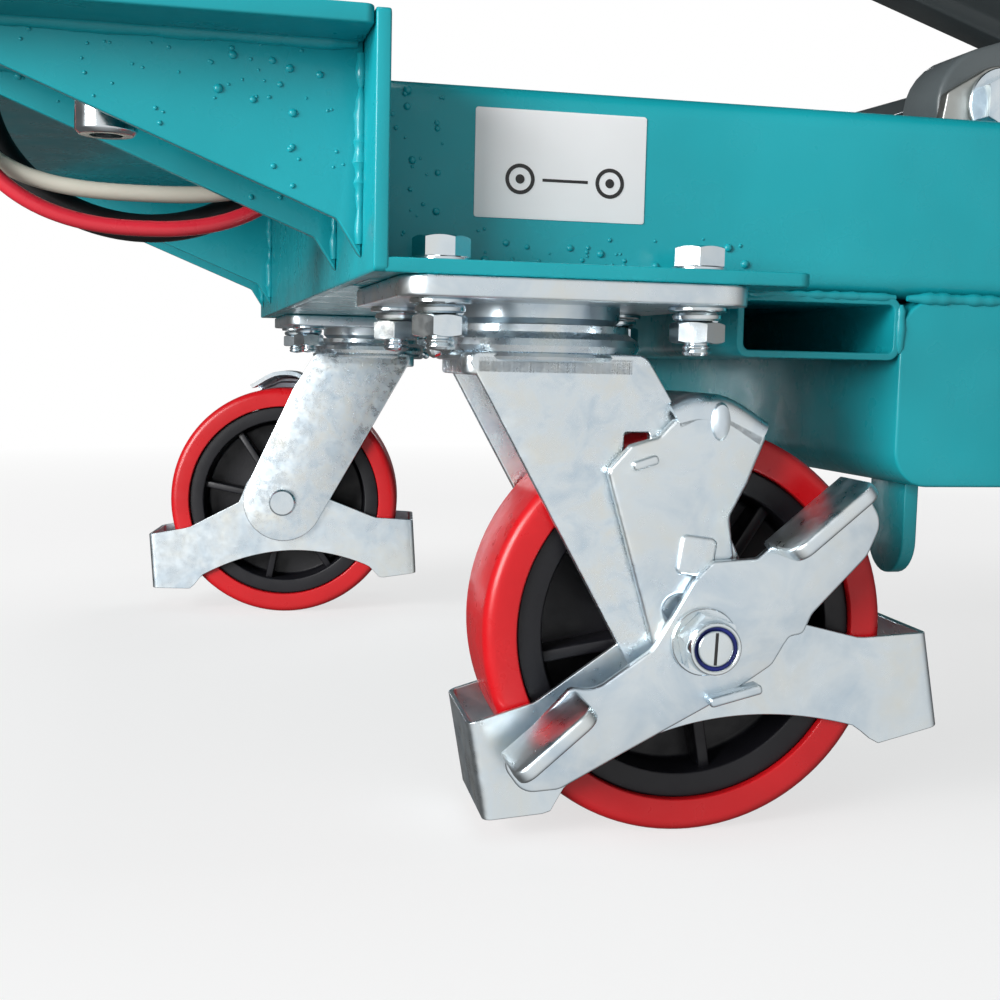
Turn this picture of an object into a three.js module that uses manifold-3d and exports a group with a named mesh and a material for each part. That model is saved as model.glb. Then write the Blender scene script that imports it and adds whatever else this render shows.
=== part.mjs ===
// A mobile scissor car jack: a low steel base frame on four swivel casters, a pair of crossed
// arms on each side, a flat lifting platform, a hydraulic cylinder and its power unit.
// Millimetres, +Z up, +X along the frame, origin on the floor under the middle of the frame.
import * as THREE from 'three';
import { mergeVertices } from 'three/addons/utils/BufferGeometryUtils.js';
import Module from 'manifold-3d';

const wasm = await Module();
wasm.setup();

// A faceted hole is drawn a little larger, so that its flats clear the pin.
function holeFor(radius) {
  return (radius + gap) / Math.cos(Math.PI / pinSides);
}

// ---- driving dimensions ----
const gap = 0.3;                      // clearance between pieces that touch
const front = -1;                     // sign of Y on the front side
const rear = 1;
const left = -1;                      // sign of X at the left end
const right = 1;

const kingpinX = 560;                 // caster swivel axes, from the middle of the frame
const kingpinY = 227.5;
const wheelRadius = 75;
const wheelOffset = 54;               // axle behind the swivel axis
const tyreHalfWidth = 23;
const coreRadius = 64.2;
const hubRadius = 20;
const wheelSides = 24;
const axleRadius = 6;
const pinSides = 12;
const axleHole = holeFor(axleRadius);

const casterPlateTop = 197.4;
const casterPlateThickness = 6.8;
const forkInner = 27;                 // inner face of a fork leg
const forkOuter = 31;

const frameHalfLength = 628.5;        // outer face of the end plates
const frameHalfWidth = 288;           // outer edge of the mounting plates
const beamBottom = casterPlateTop + gap;
const beamTop = 265;
const beamOuterY = 248;
const beamWidth = 50;
const plateThickness = 4.8;
const endPlateTop = 278;
const mountingPlateReach = 148.5;

const shelfReach = 146.5;             // shelf beyond the end plate
const shelfBottom = 272.6;
const shelfThickness = 6;

const crossTubeHeight = 23;
const crossTubeWidth = 64.8;
const boxWidth = 100;
const boxBottom = 127;
const boxX = -425.4;                  // left face of the left box member

const armLength = 660;                // between end pivots
const armHalfHeight = 25;
const armThickness = 30;
const restAngle = THREE.MathUtils.degToRad(17.7);
const pivotX = -358;                  // fixed lower pivot of the outer arms
const pivotZ = 280;
const outerArmY = 161.5;              // inner face of an outer arm
const innerArmY = 127.5;              // inner face of an inner arm
const pinRadius = 10;
const stubRadius = 6;
const lowerRollerRadius = pivotZ - beamTop - gap;
const upperRollerRadius = 29;

const platformHalfLength = 620;
const platformHalfWidth = 316;
const platformThickness = 8;
const platformRailHeight = 52;         // at the pivot; shallower beyond it, over the push bar
const platformRailDepth = 30;
const platformRailEnd = 560;

const barrelPivotX = -293;
const barrelPivotZ = 165;
const barrelRadius = 28;
const rodRadius = 14;
const pushBarAlong = 520;             // distance of the push bar from the outer arms' lower pivot
const pushBarRadius = 12;
const rodEyeClearance = 9;

// ---- materials ----
function paint(color, roughness, metalness) {
  return new THREE.MeshStandardMaterial({ color, roughness, metalness });
}
const teal = paint(0x1f9ea8, 0.35, 0.1);
const zinc = paint(0xc3cdd4, 0.3, 0.85);
const charcoal = paint(0x3c4346, 0.45, 0.2);
const greySteel = paint(0x7d807d, 0.5, 0.6);
const redTyre = paint(0xc81a22, 0.35, 0.0);
const blackPlastic = paint(0x1c1d21, 0.5, 0.0);
const blackPaint = paint(0x202326, 0.4, 0.2);
const chrome = paint(0xd8dcdf, 0.1, 1.0);
const blackHose = paint(0x17181a, 0.55, 0.0);
const redHose = paint(0xc8202c, 0.45, 0.0);
const beigeCable = paint(0xd9d2bf, 0.5, 0.0);

// ---- solids ----
function toSolid(geometry) {
  const plain = geometry.index ? geometry.toNonIndexed() : geometry.clone();
  plain.deleteAttribute('normal');
  plain.deleteAttribute('uv');
  const merged = mergeVertices(plain, 1e-4);
  return new wasm.Manifold(new wasm.Mesh({
    numProp: 3,
    vertProperties: new Float32Array(merged.attributes.position.array),
    triVerts: new Uint32Array(merged.index.array),
  }));
}

function toGeometry(solid) {
  const mesh = solid.getMesh();
  const geometry = new THREE.BufferGeometry();
  geometry.setAttribute('position', new THREE.BufferAttribute(mesh.vertProperties, 3));
  geometry.setIndex(new THREE.BufferAttribute(mesh.triVerts, 1));
  geometry.computeVertexNormals();
  return geometry;
}

function join(...solids) {
  return solids.reduce((whole, piece) => whole.add(piece));
}

function box(x0, x1, y0, y1, z0, z1) {
  const geometry = new THREE.BoxGeometry(x1 - x0, y1 - y0, z1 - z0);
  geometry.translate((x0 + x1) / 2, (y0 + y1) / 2, (z0 + z1) / 2);
  return toSolid(geometry);
}

// A round bar along Y between y0 and y1.
function barY(x, z, radius, y0, y1, sides = 16) {
  const geometry = new THREE.CylinderGeometry(radius, radius, y1 - y0, sides);
  geometry.translate(x, (y0 + y1) / 2, z);
  return toSolid(geometry);
}

function barZ(x, y, radius, z0, z1, sides = 20) {
  const geometry = new THREE.CylinderGeometry(radius, radius, z1 - z0, sides);
  geometry.rotateX(Math.PI / 2);
  geometry.translate(x, y, (z0 + z1) / 2);
  return toSolid(geometry);
}

// An outline drawn in X and Z, as thick as y0 to y1.
function plateXZ(shape, y0, y1, curveSegments = 4) {
  const geometry = new THREE.ExtrudeGeometry(shape, { depth: y1 - y0, bevelEnabled: false, curveSegments });
  geometry.rotateX(Math.PI / 2);
  geometry.translate(0, y1, 0);
  return toSolid(geometry);
}

// An outline drawn in Y and Z, as thick as x0 to x1.
function plateYZ(shape, x0, x1, curveSegments = 2) {
  const geometry = new THREE.ExtrudeGeometry(shape, { depth: x1 - x0, bevelEnabled: false, curveSegments });
  geometry.rotateX(Math.PI / 2);
  geometry.rotateZ(Math.PI / 2);
  geometry.translate(x0, 0, 0);
  return toSolid(geometry);
}

function plateXY(shape, z0, z1, curveSegments = 2) {
  const geometry = new THREE.ExtrudeGeometry(shape, { depth: z1 - z0, bevelEnabled: false, curveSegments });
  geometry.translate(0, 0, z0);
  return toSolid(geometry);
}

function polygon(points) {
  return new THREE.Shape(points.map(([x, y]) => new THREE.Vector2(x, y)));
}

function roundedRectangle(x0, x1, y0, y1, radius, Kind = THREE.Shape) {
  const shape = new Kind();
  shape.moveTo(x0 + radius, y0);
  shape.lineTo(x1 - radius, y0);
  shape.absarc(x1 - radius, y0 + radius, radius, -Math.PI / 2, 0);
  shape.lineTo(x1, y1 - radius);
  shape.absarc(x1 - radius, y1 - radius, radius, 0, Math.PI / 2);
  shape.lineTo(x0 + radius, y1);
  shape.absarc(x0 + radius, y1 - radius, radius, Math.PI / 2, Math.PI);
  shape.lineTo(x0, y0 + radius);
  shape.absarc(x0 + radius, y0 + radius, radius, Math.PI, Math.PI * 1.5);
  return shape;
}

function tubeOutline(x0, x1, y0, y1, radius, wall) {
  const shape = roundedRectangle(x0, x1, y0, y1, radius);
  const inner = Math.max(radius - wall, 1);
  shape.holes.push(roundedRectangle(x0 + wall, x1 - wall, y0 + wall, y1 - wall, inner, THREE.Path));
  return shape;
}

// A turned piece about an axis along Y; the profile holds [radius, y] points and closes on itself.
function turnedY(profile, sides) {
  const points = profile.map(([radius, y]) => new THREE.Vector2(radius, y));
  points.push(points[0].clone());
  return toSolid(new THREE.LatheGeometry(points, sides));
}

const model = new THREE.Group();

function addMesh(parent, name, solid, material) {
  const mesh = new THREE.Mesh(toGeometry(solid), material);
  mesh.name = name;
  parent.add(mesh);
}

// ---- caster pieces, about a swivel axis at X = Y = 0 with the wheel trailing towards +X ----
function casterPlate() {
  const halfLength = 59.3;
  const halfWidth = 62;
  const bottom = casterPlateTop - casterPlateThickness;
  const outline = roundedRectangle(-halfLength, halfLength, -halfWidth, halfWidth, 11);
  const race = barZ(0, 0, 30, 184, bottom + 1, 16);
  return join(plateXY(outline, bottom, casterPlateTop), race);
}

// The fork leg narrows from the crown to a round end on the axle.
function forkLegOutline() {
  const endRadius = 26;
  const shape = new THREE.Shape();
  shape.moveTo(48, 150);
  shape.lineTo(31, 174);
  shape.lineTo(-31, 174);
  shape.absarc(wheelOffset, wheelRadius, endRadius, Math.PI * 1.17, Math.PI * 2.14);
  return shape;
}

function brakeShoeOutline() {
  return polygon([
    [38, 70], [66, 103], [64, 118], [70, 130], [78, 152], [63, 160], [50, 161], [41, 158],
    [37, 146], [26, 146], [19, 134],
  ]);
}

// Curved cap over the top of the tyre, bent inwards from the brake plate.
function brakeCapOutline() {
  const thickness = 3;
  return polygon([
    [41, 158 - thickness], [50, 161 - thickness], [63, 160 - thickness], [78, 152 - thickness],
    [78, 152], [63, 160], [50, 161], [41, 158],
  ]);
}

function casterFork() {
  const crown = barZ(0, 0, 38.5, 172, 183.7, 20);
  const web = box(-31, 31, -forkOuter, forkOuter, 166, 173);
  const brakeLeg = plateXZ(forkLegOutline(), -forkOuter, -forkInner);
  const plainLeg = plateXZ(forkLegOutline(), forkInner, forkOuter);
  const shoe = plateXZ(brakeShoeOutline(), -36.3, -forkOuter + 0.5);
  const cap = plateXZ(brakeCapOutline(), -36.3, 12);
  const axleBore = barY(wheelOffset, wheelRadius, axleHole, -40, 40, pinSides);
  return join(crown, web, brakeLeg, plainLeg, shoe, cap).subtract(axleBore);
}

// A band bent round both ends of the wheel, with an arch over the axle; it is free to tilt.
function toeGuard(tilt) {
  const reach = 85;
  const wall = 2;
  const outerY = forkInner - 0.4;
  const shape = new THREE.Shape();
  shape.moveTo(-reach, -53);
  shape.lineTo(-61, -55);
  shape.quadraticCurveTo(-38, -33, 0, -33);
  shape.quadraticCurveTo(38, -33, 61, -55);
  shape.lineTo(reach, -53);
  shape.lineTo(reach, -17);
  shape.lineTo(60, -14);
  shape.lineTo(28, 0);
  shape.absarc(0, 0, 25, 0.3, Math.PI - 0.3);
  shape.lineTo(-28, 0);
  shape.lineTo(-60, -14);
  shape.lineTo(-reach, -17);
  const solid = plateXZ(shape, -outerY, outerY, 2);
  const inside = box(-reach + wall, reach - wall, -outerY + wall, outerY - wall, -80, 80);
  const bore = barY(0, 0, axleHole, -40, 40, pinSides);
  return solid.subtract(inside).subtract(bore).rotate([0, -tilt, 0])
    .translate([wheelOffset, 0, wheelRadius]);
}

function tyre() {
  const bore = coreRadius + gap;
  const shoulder = 6;
  return turnedY([
    [bore, -tyreHalfWidth + 2], [wheelRadius - shoulder, -tyreHalfWidth],
    [wheelRadius - 1.6, -tyreHalfWidth + shoulder * 0.35], [wheelRadius, -tyreHalfWidth + shoulder],
    [wheelRadius, tyreHalfWidth - shoulder], [wheelRadius - 1.6, tyreHalfWidth - shoulder * 0.35],
    [wheelRadius - shoulder, tyreHalfWidth], [bore, tyreHalfWidth - 2],
  ], wheelSides).translate([wheelOffset, 0, wheelRadius]);
}

function wheelCore() {
  return turnedY([
    [axleHole, -23.5], [hubRadius, -23.5], [hubRadius + 2, -5], [54, -5], [57, -19], [coreRadius, -19],
    [coreRadius, 19], [57, 19], [54, 5], [hubRadius + 2, 5], [hubRadius, 23.5], [axleHole, 23.5],
  ], wheelSides).translate([wheelOffset, 0, wheelRadius]);
}

function axle() {
  const nutFace = -41.3;
  const shaft = barY(wheelOffset, wheelRadius, axleRadius, -56, 33, pinSides);
  const washer = barY(wheelOffset, wheelRadius, 12, nutFace - 2, nutFace, 14);
  const nut = barY(wheelOffset, wheelRadius, 10.5, nutFace - 12, nutFace - 1.5, 6);
  const head = barY(wheelOffset, wheelRadius, 8.5, forkOuter + gap, forkOuter + 6, 14);
  return join(shaft, washer, nut, head);
}

// The brake lever turns on the axle; a pedal is bent outwards at each end of it.
function brakeLever() {
  const inner = -36.7;
  const outer = -40.9;
  const outline = polygon([
    [-14, 30], [-6, 23], [4, 24], [26, 35], [41, 43], [54, 51], [71, 60], [80, 66], [84, 73],
    [90, 76], [94, 84], [114, 107], [118, 115], [115, 121], [77, 108], [57, 103], [36, 72],
    [16, 56],
  ]);
  const upperPedal = polygon([[78, 108], [104, 131], [109, 127], [83, 104]]);
  const lowerPedal = polygon([[-17, 35], [9, 58], [14, 53], [-12, 30]]);
  const pedalDepth = 27;
  const bore = barY(wheelOffset, wheelRadius, axleHole, outer - 5, inner + 5, pinSides);
  return join(
    plateXZ(outline, outer, inner),
    plateXZ(upperPedal, outer - pedalDepth, inner),
    plateXZ(lowerPedal, outer - pedalDepth, inner),
  ).subtract(bore);
}

// Each caster stands at its own swivel angle, and its guard at its own tilt.
const casters = [
  { name: 'front_left', x: left, y: front, heading: -3.2, tilt: 10.2 },
  { name: 'rear_left', x: left, y: rear, heading: 170.7, tilt: -4 },
  { name: 'front_right', x: right, y: front, heading: 172, tilt: -4 },
  { name: 'rear_right', x: right, y: rear, heading: 14, tilt: 6 },
];

for (const { name, x, y, heading, tilt } of casters) {
  const caster = new THREE.Group();
  caster.position.set(x * kingpinX, y * kingpinY, 0);
  caster.rotation.z = THREE.MathUtils.degToRad(heading);
  model.add(caster);
  const mounting = new THREE.Group();
  mounting.position.copy(caster.position);
  model.add(mounting);
  addMesh(mounting, `caster_plate_${name}`, casterPlate(), zinc);
  addMesh(caster, `caster_fork_${name}`, casterFork(), zinc);
  addMesh(caster, `toe_guard_${name}`, toeGuard(tilt), zinc);
  addMesh(caster, `tyre_${name}`, tyre(), redTyre);
  addMesh(caster, `wheel_core_${name}`, wheelCore(), blackPlastic);
  addMesh(caster, `axle_${name}`, axle(), zinc);
  addMesh(caster, `brake_lever_${name}`, brakeLever(), zinc);
}

// ---- base frame ----
const beamInnerY = beamOuterY - beamWidth;
const beamHalfLength = frameHalfLength - plateThickness - gap;

function sideBeam(side) {
  const y0 = side === front ? -beamOuterY : beamInnerY;
  const outline = tubeOutline(y0, y0 + beamWidth, beamBottom, beamTop, 8, 3.5);
  return plateYZ(outline, -beamHalfLength, beamHalfLength);
}

// A plate across the whole width, cut out for both beams, with the end plate standing on its edge.
function endPlate(end) {
  const outer = end * frameHalfLength;
  const inner = end * (frameHalfLength - plateThickness);
  const reach = end * (frameHalfLength - mountingPlateReach);
  const span = (a, b, y0, y1, z0, z1) => box(Math.min(a, b), Math.max(a, b), y0, y1, z0, z1);
  const flat = span(outer, reach, -frameHalfWidth, frameHalfWidth, beamBottom, beamBottom + plateThickness);
  const upright = span(outer, inner, -frameHalfWidth, frameHalfWidth, beamBottom, endPlateTop);
  const notchStart = end * beamHalfLength;
  const notchEnd = reach - end * plateThickness;
  const notch = (y) => span(notchStart, notchEnd, y - gap, y + beamWidth + gap, beamBottom - 5, beamTop + 5);
  return join(flat, upright).subtract(notch(-beamOuterY)).subtract(notch(beamInnerY));
}

// A shelf carried outside the left end plate by four gussets that taper towards its edge.
function shelf() {
  const wallX = -frameHalfLength - gap;
  const edgeX = -frameHalfLength - shelfReach;
  const gusset = polygon([
    [wallX, 204], [wallX - 1, 205], [wallX - 8, 216], [edgeX + 8, 269],
    [edgeX + 4, shelfBottom + 1], [wallX, shelfBottom + 1],
  ]);
  const top = box(edgeX, wallX, -frameHalfWidth, frameHalfWidth, shelfBottom, shelfBottom + shelfThickness);
  const gussetOffsets = [255.2, 180.2];
  const gussets = gussetOffsets.flatMap((y) => [
    plateXZ(gusset, -y - plateThickness, -y),
    plateXZ(gusset, y, y + plateThickness),
  ]);
  return join(top, ...gussets);
}

function crossTube() {
  const x0 = boxX - gap - crossTubeWidth;
  const top = beamBottom - gap;
  const outline = tubeOutline(x0, x0 + crossTubeWidth, top - crossTubeHeight, top, 4, 2.6);
  return plateXZ(outline, -beamOuterY, beamOuterY, 1);
}

// A capped box member under the beams; its underside carries a rounded lug near each beam.
function boxMember(end) {
  const x0 = end === left ? boxX : -boxX - boxWidth;
  const top = beamBottom - gap;
  const wall = 5;
  const outline = roundedRectangle(x0, x0 + boxWidth, boxBottom, top, 14);
  const inner = roundedRectangle(x0 + wall, x0 + boxWidth - wall, boxBottom + wall, top - wall, 9);
  const reach = beamOuterY - wall;
  const drain = barZ(x0 + boxWidth / 2, 0, 8, boxBottom - 5, boxBottom + 10, 12);
  const lugX = x0 + 15;
  const lug = (y) => {
    const shape = new THREE.Shape();
    shape.moveTo(y + 14, boxBottom + 2);
    shape.lineTo(y - 14, boxBottom + 2);
    shape.lineTo(y - 14, 104);
    shape.absarc(y, 104, 14, Math.PI, Math.PI * 2);
    return plateYZ(shape, lugX, lugX + 6, 4);
  };
  return plateXZ(outline, -beamOuterY, beamOuterY, 2)
    .subtract(plateXZ(inner, -reach, reach, 1))
    .subtract(drain)
    .add(lug(-216))
    .add(lug(216));
}

for (const [name, side] of [['front', front], ['rear', rear]]) {
  addMesh(model, `side_beam_${name}`, sideBeam(side), teal);
}
for (const [name, end] of [['left', left], ['right', right]]) {
  addMesh(model, `end_plate_${name}`, endPlate(end), teal);
  addMesh(model, `box_member_${name}`, boxMember(end), teal);
}
addMesh(model, 'shelf', shelf(), teal);
addMesh(model, 'cross_tube', crossTube(), teal);

// ---- scissor arms ----
const centreX = pivotX + (armLength / 2) * Math.cos(restAngle);
const centreZ = pivotZ + (armLength / 2) * Math.sin(restAngle);
const upperZ = pivotZ + armLength * Math.sin(restAngle);

// An arm outline along X from its first pivot, with round ends and rounded-off holes for its pins.
function armOutline(holes) {
  const shape = new THREE.Shape();
  shape.absarc(0, 0, armHalfHeight, Math.PI / 2, Math.PI * 1.5);
  shape.absarc(armLength, 0, armHalfHeight, -Math.PI / 2, Math.PI / 2);
  for (const along of holes) {
    const hole = new THREE.Path();
    hole.absarc(along, 0, holeFor(pinRadius), 0, Math.PI * 2);
    shape.holes.push(hole);
  }
  return shape;
}

function span(side, innerY, outerY) {
  return side === front ? [-outerY, -innerY] : [innerY, outerY];
}

// Outer arm: hole at the base pivot, a welded pin at the middle, a stub for the upper roller.
function outerArm(side) {
  const [y0, y1] = span(side, outerArmY, outerArmY + armThickness);
  const [pin0, pin1] = span(side, innerArmY - 3, outerArmY + 5);
  const [stub0, stub1] = span(side, outerArmY + 5, beamOuterY - 18);
  return join(
    plateXZ(armOutline([0]), y0, y1, pinSides / 2),
    barY(armLength / 2, 0, pinRadius, pin0, pin1),
    barY(armLength, 0, stubRadius, stub0, stub1, pinSides),
  );
}

// Inner arm: holes at the middle and at the platform pivot, a stub for the lower roller.
function innerArm(side) {
  const [y0, y1] = span(side, innerArmY, innerArmY + armThickness);
  const [stub0, stub1] = span(side, innerArmY + 5, beamOuterY - 18);
  return join(
    plateXZ(armOutline([0, armLength / 2]), y0, y1, pinSides / 2),
    barY(armLength, 0, stubRadius, stub0, stub1, pinSides),
  );
}

const outerArms = new THREE.Group();
outerArms.position.set(pivotX, 0, pivotZ);
outerArms.rotation.y = -restAngle;
model.add(outerArms);

const innerArms = new THREE.Group();
innerArms.position.set(pivotX, 0, upperZ);
innerArms.rotation.y = restAngle;
model.add(innerArms);

function roller(side, radius) {
  const [y0, y1] = span(side, beamInnerY + 4, beamOuterY - 20);
  return barY(armLength, 0, radius, y0, y1, 20)
    .subtract(barY(armLength, 0, holeFor(stubRadius), y0 - 5, y1 + 5, pinSides));
}

for (const [name, side] of [['front', front], ['rear', rear]]) {
  addMesh(outerArms, `outer_arm_${name}`, outerArm(side), charcoal);
  addMesh(innerArms, `inner_arm_${name}`, innerArm(side), charcoal);
  addMesh(outerArms, `upper_roller_${name}`, roller(side, upperRollerRadius), greySteel);
  addMesh(innerArms, `lower_roller_${name}`, roller(side, lowerRollerRadius), greySteel);
}
const pushBarHalf = outerArmY - gap;
addMesh(outerArms, 'push_bar', barY(pushBarAlong, 0, pushBarRadius, -pushBarHalf, pushBarHalf), charcoal);
const tieHalf = innerArmY - gap;
addMesh(innerArms, 'inner_arm_tie', barY(armLength - 55, 0, 16, -tieHalf, tieHalf), charcoal);

// Lugs on the left box member carry the shaft that the outer arms turn on.
function pivotLug(side) {
  const [y0, y1] = span(side, outerArmY + armThickness + gap, beamInnerY - gap);
  const foot = beamBottom;
  const shape = new THREE.Shape();
  shape.moveTo(pivotX - 34, foot);
  shape.lineTo(pivotX + 26, foot);
  shape.lineTo(pivotX + 16, pivotZ);
  shape.absarc(pivotX, pivotZ, 16, 0, Math.PI * 0.72);
  shape.lineTo(pivotX - 24, pivotZ + 4);
  shape.lineTo(pivotX - 26, pivotZ - 8);
  return plateXZ(shape, y0, y1, 3)
    .subtract(barY(pivotX, pivotZ, holeFor(pinRadius), y0 - 5, y1 + 5, pinSides));
}
addMesh(model, 'pivot_lug_front', pivotLug(front), greySteel);
addMesh(model, 'pivot_lug_rear', pivotLug(rear), greySteel);

// The head and nut of the shaft stand over the beams, just above their top faces.
function pivotShaft() {
  const shaftEnd = beamInnerY + 6;
  const headStart = beamInnerY;
  return join(
    barY(pivotX, pivotZ, pinRadius, -shaftEnd, shaftEnd),
    barY(pivotX, pivotZ, 14, -headStart - 10, -headStart),
    barY(pivotX, pivotZ, 14, headStart, headStart + 10, 6),
  );
}
addMesh(model, 'pivot_shaft', pivotShaft(), zinc);

// ---- platform ----
const platformBottom = upperZ + upperRollerRadius + gap;
const platformOutline = roundedRectangle(
  -platformHalfLength, platformHalfLength, -platformHalfWidth, platformHalfWidth, 20,
);
addMesh(model, 'platform_plate',
  plateXY(platformOutline, platformBottom, platformBottom + platformThickness), charcoal);

// A rail under the platform on each side, with the pin that the inner arms hang it on.
function platformRail(side) {
  const [y0, y1] = span(side, innerArmY - 12, innerArmY - 5);
  const [pin0, pin1] = span(side, innerArmY - 8, innerArmY + armThickness + 2);
  const top = platformBottom - gap;
  const deep = top - platformRailHeight;
  const shallow = top - platformRailDepth;
  const outline = polygon([
    [pivotX - 40, top], [pivotX - 40, deep], [pivotX + 40, deep], [pivotX + 70, shallow],
    [platformRailEnd, shallow], [platformRailEnd, top],
  ]);
  return join(plateXZ(outline, y0, y1, 1), barY(pivotX, upperZ, pinRadius, pin0, pin1));
}
addMesh(model, 'platform_rail_front', platformRail(front), charcoal);
addMesh(model, 'platform_rail_rear', platformRail(rear), charcoal);

// ---- hydraulic cylinder, between the left box member and the push bar ----
const pushBarX = pivotX + pushBarAlong * Math.cos(restAngle);
const pushBarZ = pivotZ + pushBarAlong * Math.sin(restAngle);
const cylinderSpan = Math.hypot(pushBarX - barrelPivotX, pushBarZ - barrelPivotZ);
const cylinderAngle = Math.atan2(pushBarZ - barrelPivotZ, pushBarX - barrelPivotX);
const barrelEnd = cylinderSpan - 90;

// A round bar along X between x0 and x1.
function barX(radius, x0, x1, sides = 16) {
  const geometry = new THREE.CylinderGeometry(radius, radius, x1 - x0, sides);
  geometry.rotateZ(-Math.PI / 2);
  geometry.translate((x0 + x1) / 2, 0, 0);
  return toSolid(geometry);
}

function barrel() {
  const boreStart = 40;
  return join(barY(0, 0, 20, -14, 14), barX(14, 0, 34, 20), barX(barrelRadius, 28, barrelEnd))
    .subtract(barX(barrelRadius - 6, boreStart, barrelEnd - 12))
    .subtract(barX(rodRadius + gap, boreStart - 2, barrelEnd + 5))
    .subtract(barY(0, 0, 8 + gap, -20, 20));
}

// The rod ends in an eye that is wider than the push bar, so the linkage stays free there.
function rod() {
  const eyeInner = pushBarRadius + rodEyeClearance;
  const piston = barX(barrelRadius - 6 - gap, 66, 88);
  const shank = barX(rodRadius, 70, cylinderSpan - eyeInner - 2);
  const eye = barY(cylinderSpan, 0, eyeInner + 8, -14, 14, 20);
  return join(piston, shank, eye).subtract(barY(cylinderSpan, 0, eyeInner, -20, 20, 20));
}

const cylinder = new THREE.Group();
cylinder.position.set(barrelPivotX, 0, barrelPivotZ);
cylinder.rotation.y = -cylinderAngle;
model.add(cylinder);
addMesh(cylinder, 'cylinder_barrel', barrel(), blackPaint);
addMesh(cylinder, 'cylinder_rod', rod(), chrome);

// ---- power unit on the shelf ----
const shelfTop = shelfBottom + shelfThickness;
const unitX = -frameHalfLength - shelfReach / 2 - 2;
const motorAxisZ = shelfTop + 64;
const motorEndY = -30;

// Oil tank with rounded edges, standing on the shelf; the pump block joins it to the motor.
function oilTank() {
  const tankHeight = 128;
  const [tankStart, tankEnd] = [10, 220];
  const blockHalf = 40;
  const outline = roundedRectangle(unitX - 62, unitX + 62, shelfTop + gap, shelfTop + tankHeight, 12);
  const block = box(
    unitX - blockHalf, unitX + blockHalf, motorEndY, tankStart + 4,
    motorAxisZ - blockHalf, motorAxisZ + blockHalf,
  );
  const filler = barZ(unitX, 120, 16, shelfTop + tankHeight - 8, shelfTop + tankHeight + 18, 14);
  return join(plateXZ(outline, tankStart, tankEnd, 1), block, filler);
}

// The motor lies along Y with its fan cover towards the front and a terminal box on top.
function motor() {
  const motorRadius = 48;
  const coverRadius = 40;
  const coverY = -200;
  const top = motorAxisZ + motorRadius;
  return join(
    barY(unitX, motorAxisZ, motorRadius, coverY, motorEndY - gap, 20),
    barY(unitX, motorAxisZ, coverRadius, coverY - 14, coverY + 2, 20),
    box(unitX - 26, unitX + 26, coverY + 40, coverY + 120, top - 12, top + 24),
    box(unitX - 34, unitX + 34, coverY + 30, coverY + 140, shelfTop + gap, shelfTop + 30),
  );
}
addMesh(model, 'oil_tank', oilTank(), blackPaint);
addMesh(model, 'pump_motor', motor(), charcoal);

// ---- push handle at the right end ----
function tubeAlong(path, radius, sides, steps) {
  const circle = new THREE.Shape();
  circle.absarc(0, 0, radius, 0, Math.PI * 2);
  const geometry = new THREE.ExtrudeGeometry(circle, {
    steps, curveSegments: sides / 2, extrudePath: path, bevelEnabled: false,
  });
  return toSolid(geometry);
}

function toVectors(points) {
  return points.map(([x, y, z]) => new THREE.Vector3(x, y, z));
}

// Straight runs between the points, with a bend of about the given size at each corner.
function bentPath(points, bend) {
  const corners = toVectors(points);
  const path = new THREE.CurvePath();
  let start = corners[0];
  for (let i = 1; i < corners.length - 1; i += 1) {
    const corner = corners[i];
    const before = start.clone().sub(corner).setLength(bend).add(corner);
    const after = corners[i + 1].clone().sub(corner).setLength(bend).add(corner);
    path.add(new THREE.LineCurve3(start, before));
    path.add(new THREE.QuadraticBezierCurve3(before, corner, after));
    start = after;
  }
  path.add(new THREE.LineCurve3(start, corners[corners.length - 1]));
  return path;
}

// A bent tube: two uprights beside the end plate, leaning out, joined by the grip bar.
function pushHandle() {
  const tubeRadius = 14;
  const gripX = frameHalfLength + shelfReach - tubeRadius;
  const footX = frameHalfLength + tubeRadius + 1;
  const halfWidth = 200;
  const footZ = 212;
  const gripZ = 900;
  const path = bentPath([
    [footX, -halfWidth, footZ], [footX, -halfWidth, 420], [gripX, -halfWidth, gripZ],
    [gripX, halfWidth, gripZ], [footX, halfWidth, 420], [footX, halfWidth, footZ],
  ], 70);
  return tubeAlong(path, tubeRadius, 8, 40);
}
addMesh(model, 'push_handle', pushHandle(), charcoal);

// ---- hoses and cable, in loops that hang under the shelf behind the second gusset ----
const hoseTop = shelfBottom - 1;
const loopPoints = 16;

// Half of a superellipse: halfWidth each way from centreX, and drop below the shelf.
function hangingLoop(y, radius, centreX, halfWidth, drop, squareness) {
  const points = [];
  for (let i = 0; i <= loopPoints; i += 1) {
    const angle = (Math.PI * i) / loopPoints;
    const across = -Math.sign(Math.cos(angle)) * Math.abs(Math.cos(angle)) ** (2 / squareness);
    const down = Math.abs(Math.sin(angle)) ** (2 / squareness);
    points.push([centreX + halfWidth * across, y, hoseTop - drop * down]);
  }
  const path = new THREE.CatmullRomCurve3(toVectors(points), false, 'centripetal');
  return tubeAlong(path, radius, 8, 20);
}

addMesh(model, 'red_hose', hangingLoop(-172, 3, -700, 66, 54, 2.35), redHose);
addMesh(model, 'power_cable', hangingLoop(-163, 3.2, -700, 66, 40, 2.8), beigeCable);
addMesh(model, 'black_hose', hangingLoop(-150, 5.5, -700, 60, 52, 2), blackHose);

export default model;
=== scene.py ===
import math
import random

import bmesh
import bpy
from mathutils import Matrix, Vector


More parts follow.
